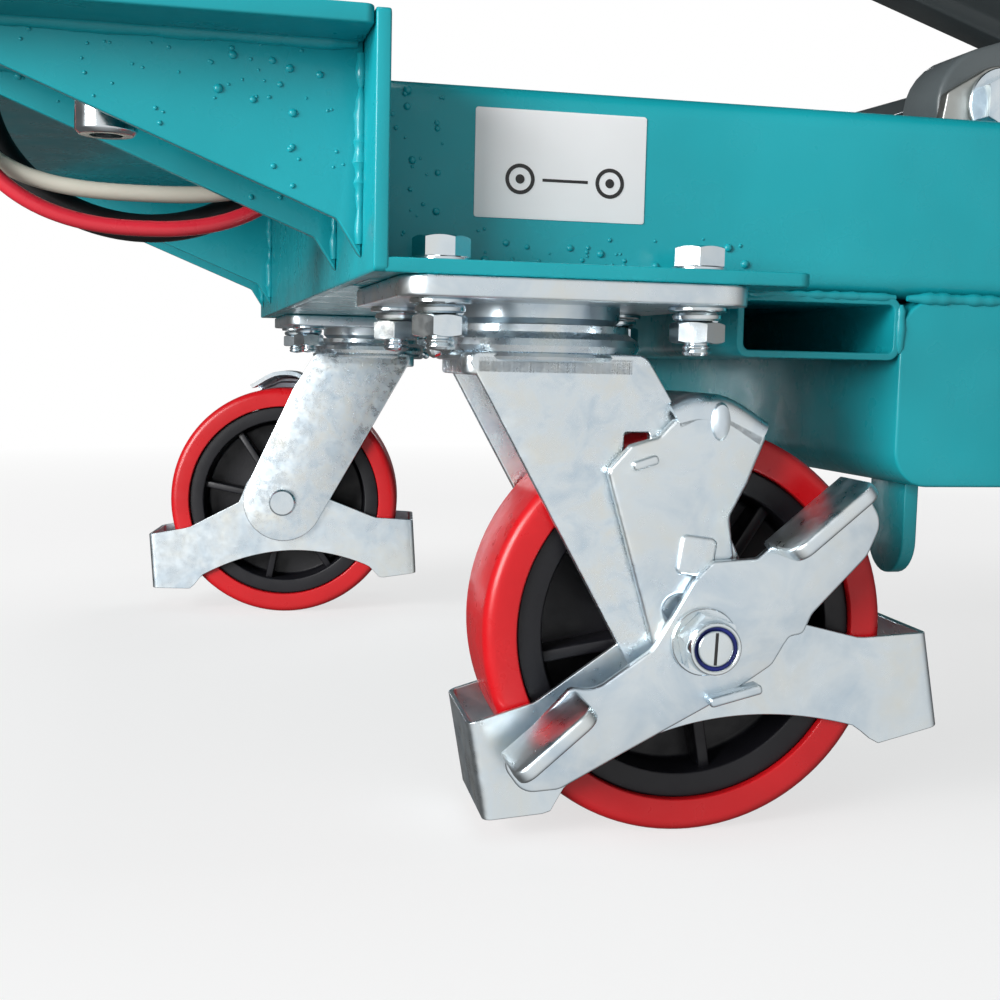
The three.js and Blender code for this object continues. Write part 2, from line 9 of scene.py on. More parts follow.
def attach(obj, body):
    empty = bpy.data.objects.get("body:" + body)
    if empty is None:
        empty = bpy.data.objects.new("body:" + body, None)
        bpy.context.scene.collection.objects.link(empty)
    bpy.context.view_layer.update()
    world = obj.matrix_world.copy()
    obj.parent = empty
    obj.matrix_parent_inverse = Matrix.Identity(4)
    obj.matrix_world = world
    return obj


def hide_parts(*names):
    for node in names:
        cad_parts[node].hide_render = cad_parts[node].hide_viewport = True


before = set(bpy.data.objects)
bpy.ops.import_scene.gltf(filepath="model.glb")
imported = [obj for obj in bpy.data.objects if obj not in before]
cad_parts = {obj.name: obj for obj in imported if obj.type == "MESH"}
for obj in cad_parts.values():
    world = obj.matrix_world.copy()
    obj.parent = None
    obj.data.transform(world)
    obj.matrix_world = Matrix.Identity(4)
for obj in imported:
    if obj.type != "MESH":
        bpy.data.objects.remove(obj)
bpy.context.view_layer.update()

scene = bpy.context.scene
MM = 0.001                      # shapes are drawn in millimetres and stored in metres

# ---- driving dimensions, in millimetres, the same as the CAD's ----
KINGPIN_X, KINGPIN_Y = 560, 227.5
WHEEL_RADIUS = 75
AXLE = (54, 75)                 # X and Z of the axle from the swivel axis
TYRE_HALF_WIDTH = 23
CORE_RADIUS = 62.6
PLATE_TOP, PLATE_BOTTOM = 197.4, 190.6
FRAME_HALF_LENGTH = 628.5
FRAME_HALF_WIDTH = 288
WALL = 4.8                      # sheet thickness of the end plates and gussets
BEAM_BOTTOM, BEAM_TOP = 197.7, 265
BEAM_INNER, BEAM_OUTER = 198, 248
SHELF_BOTTOM, SHELF_TOP = 272.6, 278.6
SHELF_EDGE = -775
GUSSETS = (180.2, 255.2)        # inner faces of the shelf's gussets
ARM_LENGTH = 660
PIVOT_X, PIVOT_Z = -358, 280
PUSH_BAR_ALONG = 520            # along the outer arms from their pivot
BARREL_X, BARREL_Z = -293, 165
REST_ANGLE = math.radians(17.7)
UPPER_Z = PIVOT_Z + ARM_LENGTH * math.sin(REST_ANGLE)
GAP = 0.3                       # what keeps parts that stand against each other apart
PLATFORM_BOTTOM, PLATFORM_TOP = 509.96, 517.96

# ---- camera ----
YAW, PITCH, ROLL = (math.radians(a) for a in (13.188, 5.624, 1.311))


def add_object(name, data):
    obj = bpy.data.objects.new(name, data)
    scene.collection.objects.link(obj)
    return obj


def make_camera():
    forward = Vector((math.sin(YAW) * math.cos(PITCH), math.cos(YAW) * math.cos(PITCH), -math.sin(PITCH)))
    level = Vector((math.cos(YAW), -math.sin(YAW), 0))
    upright = level.cross(forward)
    right = math.cos(ROLL) * level + math.sin(ROLL) * upright
    up = math.cos(ROLL) * upright - math.sin(ROLL) * level
    data = bpy.data.cameras.new("camera")
    data.lens = 50.48
    data.sensor_width = 36
    data.clip_start = 0.01
    camera = add_object("camera", data)
    camera.matrix_world = Matrix((right, up, -forward)).transposed().to_4x4()
    camera.location = (-0.68904, -0.72581, 0.17057)
    scene.camera = camera


make_camera()
scene.view_settings.view_transform = "Standard"


# ---- shapes: vertices in millimetres and faces, joined and moved before they become a piece ----
class Shape:
    def __init__(self, verts=(), faces=()):
        self.verts = [Vector(v) for v in verts]
        self.faces = [tuple(f) for f in faces]

    def __add__(self, other):
        shift = len(self.verts)
        moved = [tuple(i + shift for i in f) for f in other.faces]
        return Shape(self.verts + other.verts, self.faces + moved)

    def at(self, matrix):
        flip = matrix.to_3x3().determinant() < 0
        faces = [f[::-1] for f in self.faces] if flip else self.faces
        return Shape([matrix @ v for v in self.verts], faces)

    def move(self, x, y, z):
        return self.at(Matrix.Translation((x, y, z)))


def together(shapes):
    return sum(shapes, Shape())


def turn(degrees, axis):
    return Matrix.Rotation(math.radians(degrees), 4, axis)


def facing_front(x, y, z):
    """Stands what was drawn in X and Y up at a place, its +Z towards the front."""
    return Matrix.Translation((x, y, z)) @ turn(90, "X")


MIRROR_X = Matrix.Diagonal((-1, 1, 1, 1))
MIRROR_Y = Matrix.Diagonal((1, -1, 1, 1))
MIRROR_Z = Matrix.Diagonal((1, 1, -1, 1))


def rounded(corners, steps=6):
    """An outline whose corners are rounded: a corner is (x, z) or (x, z, radius)."""
    points = []
    corners = [c for i, c in enumerate(corners) if (Vector(c[:2]) - Vector(corners[i - 1][:2])).length > 1e-3]
    count = len(corners)
    for i, corner in enumerate(corners):
        here = Vector(corner[:2])
        radius = corner[2] if len(corner) > 2 else 0
        to_last = Vector(corners[i - 1][:2]) - here
        to_next = Vector(corners[(i + 1) % count][:2]) - here
        half = to_last.angle(to_next) / 2
        if radius == 0 or half > math.radians(88):
            points.append(tuple(here))
            continue
        reach = min(radius / math.tan(half), to_last.length * 0.48, to_next.length * 0.48)
        radius = reach * math.tan(half)
        start = here + to_last.normalized() * reach
        end = here + to_next.normalized() * reach
        centre = here + (to_last.normalized() + to_next.normalized()).normalized() * (radius / math.sin(half))
        spoke = start - centre
        swing = spoke.angle_signed(end - centre)
        for k in range(steps + 1):
            c, s = math.cos(-swing * k / steps), math.sin(-swing * k / steps)
            points.append(tuple(centre + Vector((spoke.x * c - spoke.y * s, spoke.x * s + spoke.y * c))))
    return points


def rectangle(x0, x1, z0, z1, radius=0, steps=6):
    return rounded([(x0, z0, radius), (x1, z0, radius), (x1, z1, radius), (x0, z1, radius)], steps)


def circle(x, z, radius, sides=32):
    return [(x + radius * math.cos(2 * math.pi * i / sides), z + radius * math.sin(2 * math.pi * i / sides))
            for i in range(sides)]


def arc(x, z, radius, start, end, steps=16):
    angles = [math.radians(start + (end - start) * i / steps) for i in range(steps + 1)]
    return [(x + radius * math.cos(a), z + radius * math.sin(a)) for a in angles]


def flat_plate(outline, depth, edge=0.6, holes=()):
    """A plate in the XY plane, from Z = 0 to Z = depth, with rounded edges."""
    curve = bpy.data.curves.new("outline", "CURVE")
    curve.dimensions = "2D"
    curve.fill_mode = "BOTH"
    curve.extrude = depth / 2 - edge
    curve.bevel_depth = edge
    curve.bevel_resolution = 2
    curve.offset = -edge
    for ring in (outline, *holes):
        spline = curve.splines.new("POLY")
        spline.points.add(len(ring) - 1)
        for point, (x, y) in zip(spline.points, ring):
            point.co = (x, y, 0, 1)
        spline.use_cyclic_u = True
    holder = add_object("outline", curve)
    graph = bpy.context.evaluated_depsgraph_get()
    mesh = bpy.data.meshes.new_from_object(holder.evaluated_get(graph))
    bpy.data.objects.remove(holder)
    bpy.data.curves.remove(curve)
    shape = Shape([v.co for v in mesh.vertices], [tuple(f.vertices) for f in mesh.polygons])
    bpy.data.meshes.remove(mesh)
    return shape.move(0, 0, depth / 2)


def plate_xz(outline, y0, y1, edge=0.6, holes=()):
    """A plate whose outline lies in X and Z, between Y = y0 and Y = y1."""
    return flat_plate(outline, abs(y1 - y0), edge, holes).at(facing_front(0, max(y0, y1), 0))


def plate_yz(outline, x0, x1, edge=0.6, holes=()):
    """A plate whose outline lies in Y and Z, from X = x0 to X = x1."""
    stand = Matrix.Translation((x0, 0, 0)) @ turn(90, "Z") @ turn(90, "X")
    return flat_plate(outline, x1 - x0, edge, holes).at(stand)


def plate_xy(outline, z0, z1, edge=0.6, holes=()):
    return flat_plate(outline, z1 - z0, edge, holes).move(0, 0, z0)


def turned(profile, sides=64, closed=True):
    """A turned piece about Z: the profile holds (radius, height) points, all round the section."""
    count = len(profile)
    verts = []
    for i in range(sides):
        angle = 2 * math.pi * i / sides
        verts += [(r * math.cos(angle), r * math.sin(angle), z) for r, z in profile]
    faces = []
    for i in range(sides):
        here, after = i * count, (i + 1) % sides * count
        for k in range(count if closed else count - 1):
            n = (k + 1) % count
            faces.append((here + k, after + k, after + n, here + n))
    return Shape(verts, faces)


def solid_turned(profile, sides=64):
    """A turned piece whose profile starts and ends on the axis."""
    inner = profile[1:-1]
    shape = turned(inner, sides, closed=False)
    low, high = len(shape.verts), len(shape.verts) + 1
    shape.verts += [Vector((0, 0, profile[0][1])), Vector((0, 0, profile[-1][1]))]
    count = len(inner)
    for i in range(sides):
        here, after = i * count, (i + 1) % sides * count
        shape.faces.append((low, after, here))
        shape.faces.append((high, here + count - 1, after + count - 1))
    return shape


def rod(radius, z0, z1, edge=0.8, sides=40):
    """A round bar about Z with rounded ends."""
    turns = [(radius - edge + edge * math.cos(a), edge * math.sin(a)) for a in (0, 0.52, 1.05, math.pi / 2)]
    low = [(r, z0 + edge - z) for r, z in turns[::-1]]
    high = [(r, z1 - edge + z) for r, z in turns]
    return solid_turned([(0, z0), *low, *high, (0, z1)], sides)


def hexagon(across_flats, z0, z1, chamfer_low=False, chamfer_high=True):
    """A hexagonal nut or bolt head about Z with the usual turned chamfer on its corners."""
    flat = across_flats / 2
    sides = 60
    slope = math.tan(math.radians(28))
    verts, faces = [], []
    for i in range(sides):
        angle = 2 * math.pi * i / sides
        off = (angle + math.pi / 6) % (math.pi / 3) - math.pi / 6
        radius = flat / math.cos(off)
        drop = (radius - flat * 0.97) * slope
        low = z0 + (drop if chamfer_low else 0)
        high = z1 - (drop if chamfer_high else 0)
        for r, z in ((flat * 0.93, z0), (radius, low), (radius, high), (flat * 0.93, z1)):
            verts.append((r * math.cos(angle), r * math.sin(angle), z))
    for i in range(sides):
        here, after = i * 4, (i + 1) % sides * 4
        faces += [(here + k, after + k, after + k + 1, here + k + 1) for k in range(3)]
    faces.append(tuple(i * 4 for i in range(sides))[::-1])
    faces.append(tuple(i * 4 + 3 for i in range(sides)))
    return Shape(verts, faces)


def thread(radius, z0, z1, pitch=1.75, sides=32):
    """A threaded end, drawn as a row of close ridges."""
    profile = [(0, z0)]
    z = z0 + 0.6
    while z < z1 - pitch:
        profile += [(radius * 0.86, z), (radius, z + pitch * 0.5), (radius, z + pitch * 0.62)]
        z += pitch
    profile += [(radius * 0.86, z), (radius * 0.86, z1), (0, z1)]
    return solid_turned(profile, sides)


def sweep(path, radii, sides=16):
    """A round bar along a path; radii is one number or one for each point."""
    points = [Vector(p) for p in path]
    if not hasattr(radii, "__len__"):
        radii = [radii] * len(points)
    tangents = []
    for i in range(len(points)):
        before, after = points[max(i - 1, 0)], points[min(i + 1, len(points) - 1)]
        tangents.append((after - before).normalized())
    side = tangents[0].orthogonal().normalized()
    verts, faces = [], []
    for i, (point, tangent) in enumerate(zip(points, tangents)):
        side = (side - tangent * side.dot(tangent)).normalized()
        other = tangent.cross(side)
        for k in range(sides):
            a = 2 * math.pi * k / sides
            verts.append(point + (side * math.cos(a) + other * math.sin(a)) * radii[i])
        if i:
            here, last = i * sides, (i - 1) * sides
            for k in range(sides):
                n = (k + 1) % sides
                faces.append((last + k, last + n, here + n, here + k))
    faces.append(tuple(range(sides))[::-1])
    faces.append(tuple(len(verts) - sides + k for k in range(sides)))
    return Shape(verts, faces)


def smooth_path(points, spacing=4):
    """A smooth curve through the points, as closely spaced points."""
    knots = [Vector(p) for p in points]
    knots = [knots[0] * 2 - knots[1], *knots, knots[-1] * 2 - knots[-2]]
    path = []
    for i in range(1, len(knots) - 2):
        a, b, c, d = knots[i - 1:i + 3]
        steps = max(2, round((c - b).length / spacing))
        for k in range(steps):
            t = k / steps
            path.append(0.5 * (2 * b + (c - a) * t + (2 * a - 5 * b + 4 * c - d) * t ** 2
                               + (3 * b - a - 3 * c + d) * t ** 3))
    path.append(knots[-2])
    return path


def bent_path(points, bend, steps=8):
    """Straight runs with a bend at each corner."""
    corners = [Vector(p) for p in points]
    path = [corners[0]]
    for before, corner, after in zip(corners, corners[1:], corners[2:]):
        start = corner + (before - corner).normalized() * bend
        end = corner + (after - corner).normalized() * bend
        for k in range(steps + 1):
            t = k / steps
            path.append(start * (1 - t) ** 2 + corner * 2 * t * (1 - t) + end * t ** 2)
    path.append(corners[-1])
    return path


def dome(radius, height):
    """A low drop of metal standing on Z = 0."""
    rings = 4
    profile = [(0, -0.2), (radius, -0.2)]
    for k in range(rings):
        a = math.pi / 2 * k / rings
        profile.append((radius * math.cos(a), height * math.sin(a)))
    profile.append((0, height))
    return solid_turned(profile, 10)


def weld(start, end, radius, seed, ripple=0.12):
    """A weld bead: a low, rippled bar along a joint."""
    draw = random.Random(seed)
    start, end = Vector(start), Vector(end)
    count = max(6, round((end - start).length / 2.2))
    path, radii = [], []
    swell = 0
    for i in range(count + 1):
        t = i / count
        swell = 0.75 * swell + draw.uniform(-ripple, ripple)
        path.append(start.lerp(end, t))
        ends = min(1, 0.55 + 6 * min(t, 1 - t))
        radii.append(radius * ends * (1 + swell + ripple * 0.5 * math.sin(i * 2.1)))
    return sweep(path, radii, 12)


def shell(grid, thickness, loop=False):
    """A sheet of even thickness laid over a grid of points, thick on the side behind its normals."""
    rows, columns = len(grid), len(grid[0])
    points = [[Vector(p) for p in row] for row in grid]

    def normal(r, c):
        r0, r1 = ((r - 1) % rows, (r + 1) % rows) if loop else (max(r - 1, 0), min(r + 1, rows - 1))
        along = points[r1][c] - points[r0][c]
        across = points[r][min(c + 1, columns - 1)] - points[r][max(c - 1, 0)]
        return along.cross(across).normalized()

    outer = [points[r][c] for r in range(rows) for c in range(columns)]
    inner = [points[r][c] - normal(r, c) * thickness for r in range(rows) for c in range(columns)]
    faces = []
    shift = len(outer)
    for r in range(rows if loop else rows - 1):
        n = (r + 1) % rows
        for c in range(columns - 1):
            a, b = r * columns + c, n * columns + c
            faces.append((a, b, b + 1, a + 1))
            faces.append((a + 1 + shift, b + 1 + shift, b + shift, a + shift))
        for c in (0, columns - 1):
            a, b = r * columns + c, n * columns + c
            faces.append((a, a + shift, b + shift, b))
    if not loop:
        for r in (0, rows - 1):
            for c in range(columns - 1):
                a = r * columns + c
                faces.append((a, a + 1, a + 1 + shift, a + shift))
    return Shape(outer + inner, faces)


SHARP_ANGLE = math.radians(32)


def piece(name, shape, material, body, replaced=(), bevel=0.0):
    """Makes the shape an object that rides on a body and stands for the CAD nodes it replaces.
    """
    mesh = bpy.data.meshes.new(name)
    mesh.from_pydata([v * MM for v in shape.verts], [], shape.faces)
    work = bmesh.new()
    work.from_mesh(mesh)
    bmesh.ops.remove_doubles(work, verts=work.verts, dist=2e-6)
    bmesh.ops.recalc_face_normals(work, faces=work.faces)
    work.to_mesh(mesh)
    work.free()
    mesh.materials.append(material)
    mesh.shade_smooth()
    mesh.set_sharp_from_angle(angle=SHARP_ANGLE)
    obj = add_object(name, mesh)
    if bevel:
        edge = obj.modifiers.new("edge", "BEVEL")
        edge.width = bevel * MM
        edge.segments = 2
        edge.angle_limit = math.radians(40)
    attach(obj, body)
    if replaced:
        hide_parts(*replaced)
    return obj


# ---- materials: each is a Principled shader with its own grain, in the object's own space ----
def wire(tree, node, sockets):
    """Fills a node's sockets: each is given a plain value or another node's output."""
    for socket, value in sockets.items():
        if isinstance(value, bpy.types.NodeSocket):
            tree.links.new(value, node.inputs[socket])
        else:
            node.inputs[socket].default_value = value


def add_node(tree, kind, sockets=(), operation=None):
    node = tree.nodes.new("ShaderNode" + kind)
    if operation:
        node.operation = operation
    wire(tree, node, dict(sockets))
    return node


def new_material(name, sockets):
    material = bpy.data.materials.new(name)
    material.use_nodes = True
    shader = material.node_tree.nodes["Principled BSDF"]
    wire(material.node_tree, shader, sockets)
    return material, material.node_tree, shader


def noise(tree, size, detail=3.0, roughness=0.55, distortion=0.0):
    """Cloudy noise whose features are about size millimetres across."""
    node = add_node(tree, "TexNoise", {
        "Vector": add_node(tree, "TexCoord").outputs["Object"], "Scale": 1 / (size * MM),
        "Detail": detail, "Roughness": roughness, "Distortion": distortion})
    return node.outputs["Fac"]


def spread(tree, value, low, high, start=0.35, end=0.65):
    """Goes from low to high as the value goes from start to end."""
    node = add_node(tree, "MapRange", {
        "Value": value, "From Min": start, "From Max": end, "To Min": low, "To Max": high})
    return node.outputs["Result"]


def ramp(tree, value, stops):
    """Colours along a value: stops holds (place, (r, g, b))."""
    node = add_node(tree, "ValToRGB", {"Fac": value})
    elements = node.color_ramp.elements
    while len(elements) < len(stops):
        elements.new(0.5)
    for element, (place, colour) in zip(elements, stops):
        element.position = place
        element.color = (*colour, 1)
    return node.outputs["Color"]


def bump(tree, shader, height, depth, below=None):
    """Relief of the given depth in millimetres; below is the normal of an earlier relief."""
    earlier = {"Normal": below} if below else {}
    node = add_node(tree, "Bump", {"Strength": 1, "Distance": depth * MM, "Height": height, **earlier})
    wire(tree, shader, {"Normal": node.outputs["Normal"]})
    return node.outputs["Normal"]


def paint(name, deep, pale, rough=(0.24, 0.36), coat=0.12):
    """Sprayed gloss paint: faint patches, orange peel and slow waves of the steel below."""
    material, tree, shader = new_material(
        name, {"Coat Weight": coat, "Coat Roughness": 0.08, "Specular IOR Level": 0.32})
    wire(tree, shader, {"Base Color": ramp(tree, noise(tree, 70, 2), [(0.32, deep), (0.68, pale)]),
                        "Roughness": spread(tree, noise(tree, 22, 3), *rough)})
    waves = bump(tree, shader, noise(tree, 26, 1), 0.5)
    bump(tree, shader, noise(tree, 2.6, 2), 0.045, waves)
    return material


def plated(name, tints, rough, grain, grain_size=0.9, cloud=26):
    """Zinc plating: clouds of blue, grey and faint yellow, with a fine grain."""
    material, tree, shader = new_material(name, {"Metallic": 1.0})
    wire(tree, shader, {"Base Color": ramp(tree, noise(tree, cloud, 4, 0.6, 0.4), tints),
                        "Roughness": spread(tree, noise(tree, 7, 4, 0.7), *rough)})
    waves = bump(tree, shader, noise(tree, 18, 2), 0.16)
    bump(tree, shader, noise(tree, grain_size, 3, 0.7), grain, waves)
    return material


def plastic(name, deep, pale, rough, grain=0.02, coat=0.0):
    """Moulded plastic, rubber or ink: faint patches and a fine grain."""
    material, tree, shader = new_material(
        name, {"Coat Weight": coat, "Coat Roughness": 0.12, "Specular IOR Level": 0.35})
    wire(tree, shader, {"Base Color": ramp(tree, noise(tree, 40, 3), [(0.3, deep), (0.7, pale)]),
                        "Roughness": spread(tree, noise(tree, 9, 3), *rough)})
    bump(tree, shader, noise(tree, 1.2, 2), grain)
    return material


TEAL = paint("teal_paint", (0.006, 0.315, 0.365), (0.010, 0.365, 0.420))
ZINC_TINTS = [(0.30, (0.56, 0.66, 0.74)), (0.5, (0.70, 0.77, 0.81)), (0.72, (0.74, 0.76, 0.73))]
ZINC = plated("zinc_plate", ZINC_TINTS, (0.26, 0.40), 0.012)
ZINC_CAST = plated("zinc_grain", ZINC_TINTS, (0.20, 0.42), 0.05, 1.6, 12)
ZINC_BRIGHT = plated("zinc_bright", ZINC_TINTS, (0.12, 0.24), 0.006)
RED = plastic("red_polyurethane", (0.52, 0.006, 0.010), (0.62, 0.009, 0.014), (0.26, 0.38), 0.02, 0.12)
NYLON = plastic("black_nylon", (0.005, 0.005, 0.007), (0.009, 0.009, 0.012), (0.34, 0.5), 0.04)
BLUE_NYLON = plastic("blue_nylon", (0.008, 0.014, 0.13), (0.012, 0.020, 0.18), (0.3, 0.4))
CHARCOAL = paint("charcoal_paint", (0.070, 0.085, 0.090), (0.090, 0.105, 0.110), (0.32, 0.46), 0.15)
GREY_STEEL = plated("grey_steel", [(0.3, (0.36, 0.37, 0.35)), (0.7, (0.48, 0.49, 0.47))], (0.34, 0.5), 0.03)
BLACK = paint("black_paint", (0.010, 0.011, 0.012), (0.018, 0.020, 0.021), (0.28, 0.42), 0.2)
CHROME = plated("chrome_rod", [(0.3, (0.78, 0.79, 0.80)), (0.7, (0.86, 0.87, 0.88))], (0.05, 0.12), 0.002)
RUBBER = plastic("black_hose", (0.010, 0.010, 0.011), (0.018, 0.018, 0.019), (0.34, 0.5), 0.03)
RED_HOSE = plastic("red_hose", (0.62, 0.022, 0.040), (0.72, 0.030, 0.050), (0.25, 0.36), 0.01, 0.3)
BEIGE = plastic("power_cable", (0.56, 0.53, 0.44), (0.66, 0.63, 0.54), (0.4, 0.52))
LABEL = plastic("label_white", (0.90, 0.91, 0.92), (0.94, 0.95, 0.96), (0.3, 0.4), 0.004, 0.2)
# black for the label's printed mark, and painted shade for the slots in the axle ends
INK_AND_SHADE = plastic("ink_and_slot_shade", (0.012, 0.012, 0.013), (0.02, 0.02, 0.02), (0.3, 0.4), 0.004, 0.2)


# ---- casters, drawn about the swivel axis with the wheel trailing towards +X ----
AXLE_X, AXLE_Z = AXLE
BOLT_X, BOLT_Y = 44.4, 45.7


def mounting_plate():
    outline = rectangle(-59.3, 59.3, -62, 62, 11)
    race = solid_turned([(0, 184), (28, 184), (30, 186), (30, 190.8), (0, 190.8)], 64)
    return plate_xy(outline, PLATE_BOTTOM, PLATE_TOP, 0.9) + race


def spring_washer(radius, z0, z1):
    """A ring with a slanted split, one end standing a little higher."""
    height, steps = z1 - z0, 30
    points = []
    for i in range(steps + 1):
        angle = math.radians(8 + 344 * i / steps)
        rise = height * (0.42 + 0.16 * i / steps)
        points.append((radius * math.cos(angle), radius * math.sin(angle), z0 + rise))
    return sweep(points, height * 0.42, 8)


def washer(radius, z0, z1):
    return solid_turned([(0, z0), (radius - 0.4, z0), (radius, z0 + 0.4), (radius, z1 - 0.4),
                         (radius - 0.4, z1), (0, z1)], 40)


def caster_bolt(spin):
    """A hexagon bolt down through the mounting plate, with its washers, nut and thread end."""
    top = 202.5
    above = washer(9.5, top, top + 1.5) + hexagon(16.5, top + 1.5, top + 8.2).at(turn(spin, "Z"))
    nut = hexagon(16.5, 178.2, 185.4, True, True).at(turn(spin + 20, "Z"))
    below = washer(10.2, 188.9, PLATE_BOTTOM) + spring_washer(7.0, 185.3, 188.9) + nut
    return above + below + thread(4.9, 173.6, 179)


def caster_bolts():
    corners = ((-BOLT_X, -BOLT_Y), (BOLT_X, -BOLT_Y), (BOLT_X, BOLT_Y), (-BOLT_X, BOLT_Y))
    return together(caster_bolt(17 + 23 * i).move(x, y, 0) for i, (x, y) in enumerate(corners))


LEG_OUTLINE = rounded([(48, 150, 6), (33, 174, 5), (-31, 174, 3), *arc(AXLE_X, AXLE_Z, 26, 210.6, 385.2, 30)])
NOTCH = rectangle(26, 35, 136, 147, 1)


def hood(path, depth, far_y):
    """The cap over the tyre: it rolls over from the brake plate's face along a path."""
    face_y = -36.3
    roll = 6
    section = [(face_y, depth), (face_y, roll)]
    for k in range(1, 7):
        angle = math.pi / 2 * k / 6
        section.append((face_y + roll - roll * math.cos(angle), roll - roll * math.sin(angle)))
    section.append((far_y, 0))
    points = [Vector(p) for p in path]
    grid = []
    for i, point in enumerate(points):
        along = (points[min(i + 1, len(points) - 1)] - points[max(i - 1, 0)]).normalized()
        inward = Vector((along.z, 0, -along.x))
        grid.append([point + inward * drop + Vector((0, y, 0)) for y, drop in section])
    return shell(grid, 2.6)


def caster_fork():
    crown = solid_turned([(0, 173), (34, 173), (36.6, 174.2), (37.6, 176.4), (36.8, 178.8), (34.4, 180.4),
                          (33.4, 181.2), (33.2, 183.7), (0, 183.7)], 72)
    seam = turned([(35.2 + 2.2 * math.cos(a), 172.6 + 1.6 * math.sin(a))
                   for a in (math.pi * k / 4 for k in range(8))], 72)
    web = plate_xy(rectangle(-31, 33, -31, 31, 5), 166, 173.4, 1.2)
    brake_leg = plate_xz(LEG_OUTLINE, -31, -27, 0.8, [NOTCH])
    plain_leg = plate_xz(LEG_OUTLINE, 27, 31, 0.8)
    return crown + seam + web + brake_leg + plain_leg


def brake_shoe():
    """The pressed plate on the fork leg: it carries the cap over the tyre, a tab and an embossed pad."""
    outline = rounded([(38, 70, 2), (66, 103, 4), (64, 118, 5), (70, 130, 5), (76.5, 147, 2), (62, 154, 8),
                       (50, 154, 8), (42.5, 152, 1), (37, 146, 3), (27, 143, 2), (19, 134, 3)])
    bite = circle(45.5, 85.5, 4.6, 24)
    face = plate_xz(outline, -36.3, -31.4, 1.6, [bite])
    path = smooth_path([(41, 0, 157.5), (50, 0, 161), (63, 0, 160), (78, 0, 151.5)], 2)
    cap = hood(path, 9, 12)
    pad = plate_xz(rectangle(45, 58.5, 97, 111.5, 2.5), -38.0, -33, 1.4).at(
        Matrix.Translation((52, 0, 104)) @ turn(8, "Y") @ Matrix.Translation((-52, 0, -104)))
    tab = rounded_bar((27.5, 135.5), (36.5, 138.5), -39.2, -33, 3.4)
    dimple = solid_turned([(0, 0), (4.6, 0), (4.0, 1.4), (2.2, 2.3), (0, 2.6)], 24).at(
        facing_front(59, -35.9, 151.5) @ Matrix.Diagonal((0.8, 1.5, 1, 1)))
    return face + cap + pad + tab + dimple


def rounded_bar(start, end, y0, y1, width):
    """A short flat bar between two points in X and Z."""
    a, b = Vector((start[0], 0, start[1])), Vector((end[0], 0, end[1]))
    middle, along = (a + b) / 2, b - a
    length = along.length
    angle = math.degrees(math.atan2(along.z, along.x))
    outline = rectangle(-length / 2, length / 2, -width / 2, width / 2, width * 0.4)
    return plate_xz(outline, y0, y1, min(1.2, width * 0.3)).at(
        Matrix.Translation(middle) @ turn(-angle, "Y"))


def toe_guard(tilt):
    """A sheet band bent round both ends of the wheel, with an arch over and under the axle."""
    front, back, half = -85, 90, 26.6
    corner = 3.5
    plan = rectangle(front, back, -half, half, corner, 5)
    ring = []
    for i, start in enumerate(plan):
        end = plan[(i + 1) % len(plan)]
        a, b = Vector(start), Vector(end)
        steps = max(1, round((b - a).length / 3))
        ring += [a.lerp(b, k / steps) for k in range(steps)]

    def reach(x):
        """Distance from the axle, with the longer trailing end brought to the front end's scale."""
        return -x if x < 0 else x * -front / back

    def low(x):
        if x >= 61:
            return -55 + (x - 61) * 2 / 24
        if x >= 54:
            return -46.5 - (x - 54) * 8.5 / 7
        return -33 - 13.5 * (x / 54) ** 2

    def high(x):
        if x >= 60:
            return -14 - (x - 60) * 3 / 25
        if x >= 26:
            return 2 - (x - 26) * 16 / 34
        return max(2, math.sqrt(max(0, 26 ** 2 - x ** 2)))

    grid = [[(p.x, p.y, height(reach(p.x))) for height in (low, high)] for p in ring]
    band = shell(grid, 2, loop=True)
    return band.at(Matrix.Translation((AXLE_X, 0, AXLE_Z)) @ turn(-tilt, "Y"))


def on_axle(shape):
    """Stands a piece made about Z on the wheel's axle, its +Z towards the brake side."""
    return shape.at(facing_front(AXLE_X, 0, AXLE_Z))


def tyre():
    inner, face = CORE_RADIUS + 0.2, TYRE_HALF_WIDTH
    profile = rounded([(inner, -face, 0.8), (WHEEL_RADIUS, -face, 4.5), (WHEEL_RADIUS, face, 4.5),
                       (inner, face, 0.8)], 6)
    return on_axle(turned(profile, 120))


def wheel_core():
    hub, rim, face, web = 20, 53.5, 20.5, 5
    profile = rounded([
        (6.4, -23.5), (hub, -23.5, 1), (hub + 1.5, -web, 2), (rim - 1.5, -web, 2), (rim, -face, 1),
        (CORE_RADIUS, -face, 0.8), (CORE_RADIUS, face, 0.8), (rim, face, 1), (rim - 1.5, web, 2),
        (hub + 1.5, web, 2), (hub, 23.5, 1), (6.4, 23.5)], 3)
    core = turned(profile, 96)
    rib = rounded([(hub - 1, web - 1), (rim + 1, web - 1), (rim + 1, 17, 2), (hub + 8, 19, 4),
                   (hub - 1, 21, 1)], 3)
    ribs = Shape()
    for side in (1, -1):
        upright = flat_plate(rib, 4.4, 0.8).move(0, 0, -2.2).at(turn(90, "X"))
        if side < 0:
            upright = upright.at(MIRROR_Z)
        for i in range(8):
            ribs = ribs + upright.at(turn(45 * i + 11, "Z"))
    return on_axle(core + ribs)


def axle():
    """The axle bolt with its round head on the plain side and a lock nut on the brake side."""
    shaft = rod(6.3, -33, 55.2, 0.8)
    nut = hexagon(19, 43.3, 51, True, False).at(turn(14, "Z"))
    collar = turned(rounded([(7.6, 50.5), (9.6, 50.5), (9.6, 53, 1), (9.0, 55.6, 1.2),
                             (7.6, 55.4, 0.8)], 4), 48)
    head = solid_turned([(0, -31.2), (8.8, -31.2), (8.8, -35.6), (7.6, -37.2), (0, -37.2)], 40)
    return on_axle(shaft + washer(12, 41.2, 43.3) + nut + collar + head)


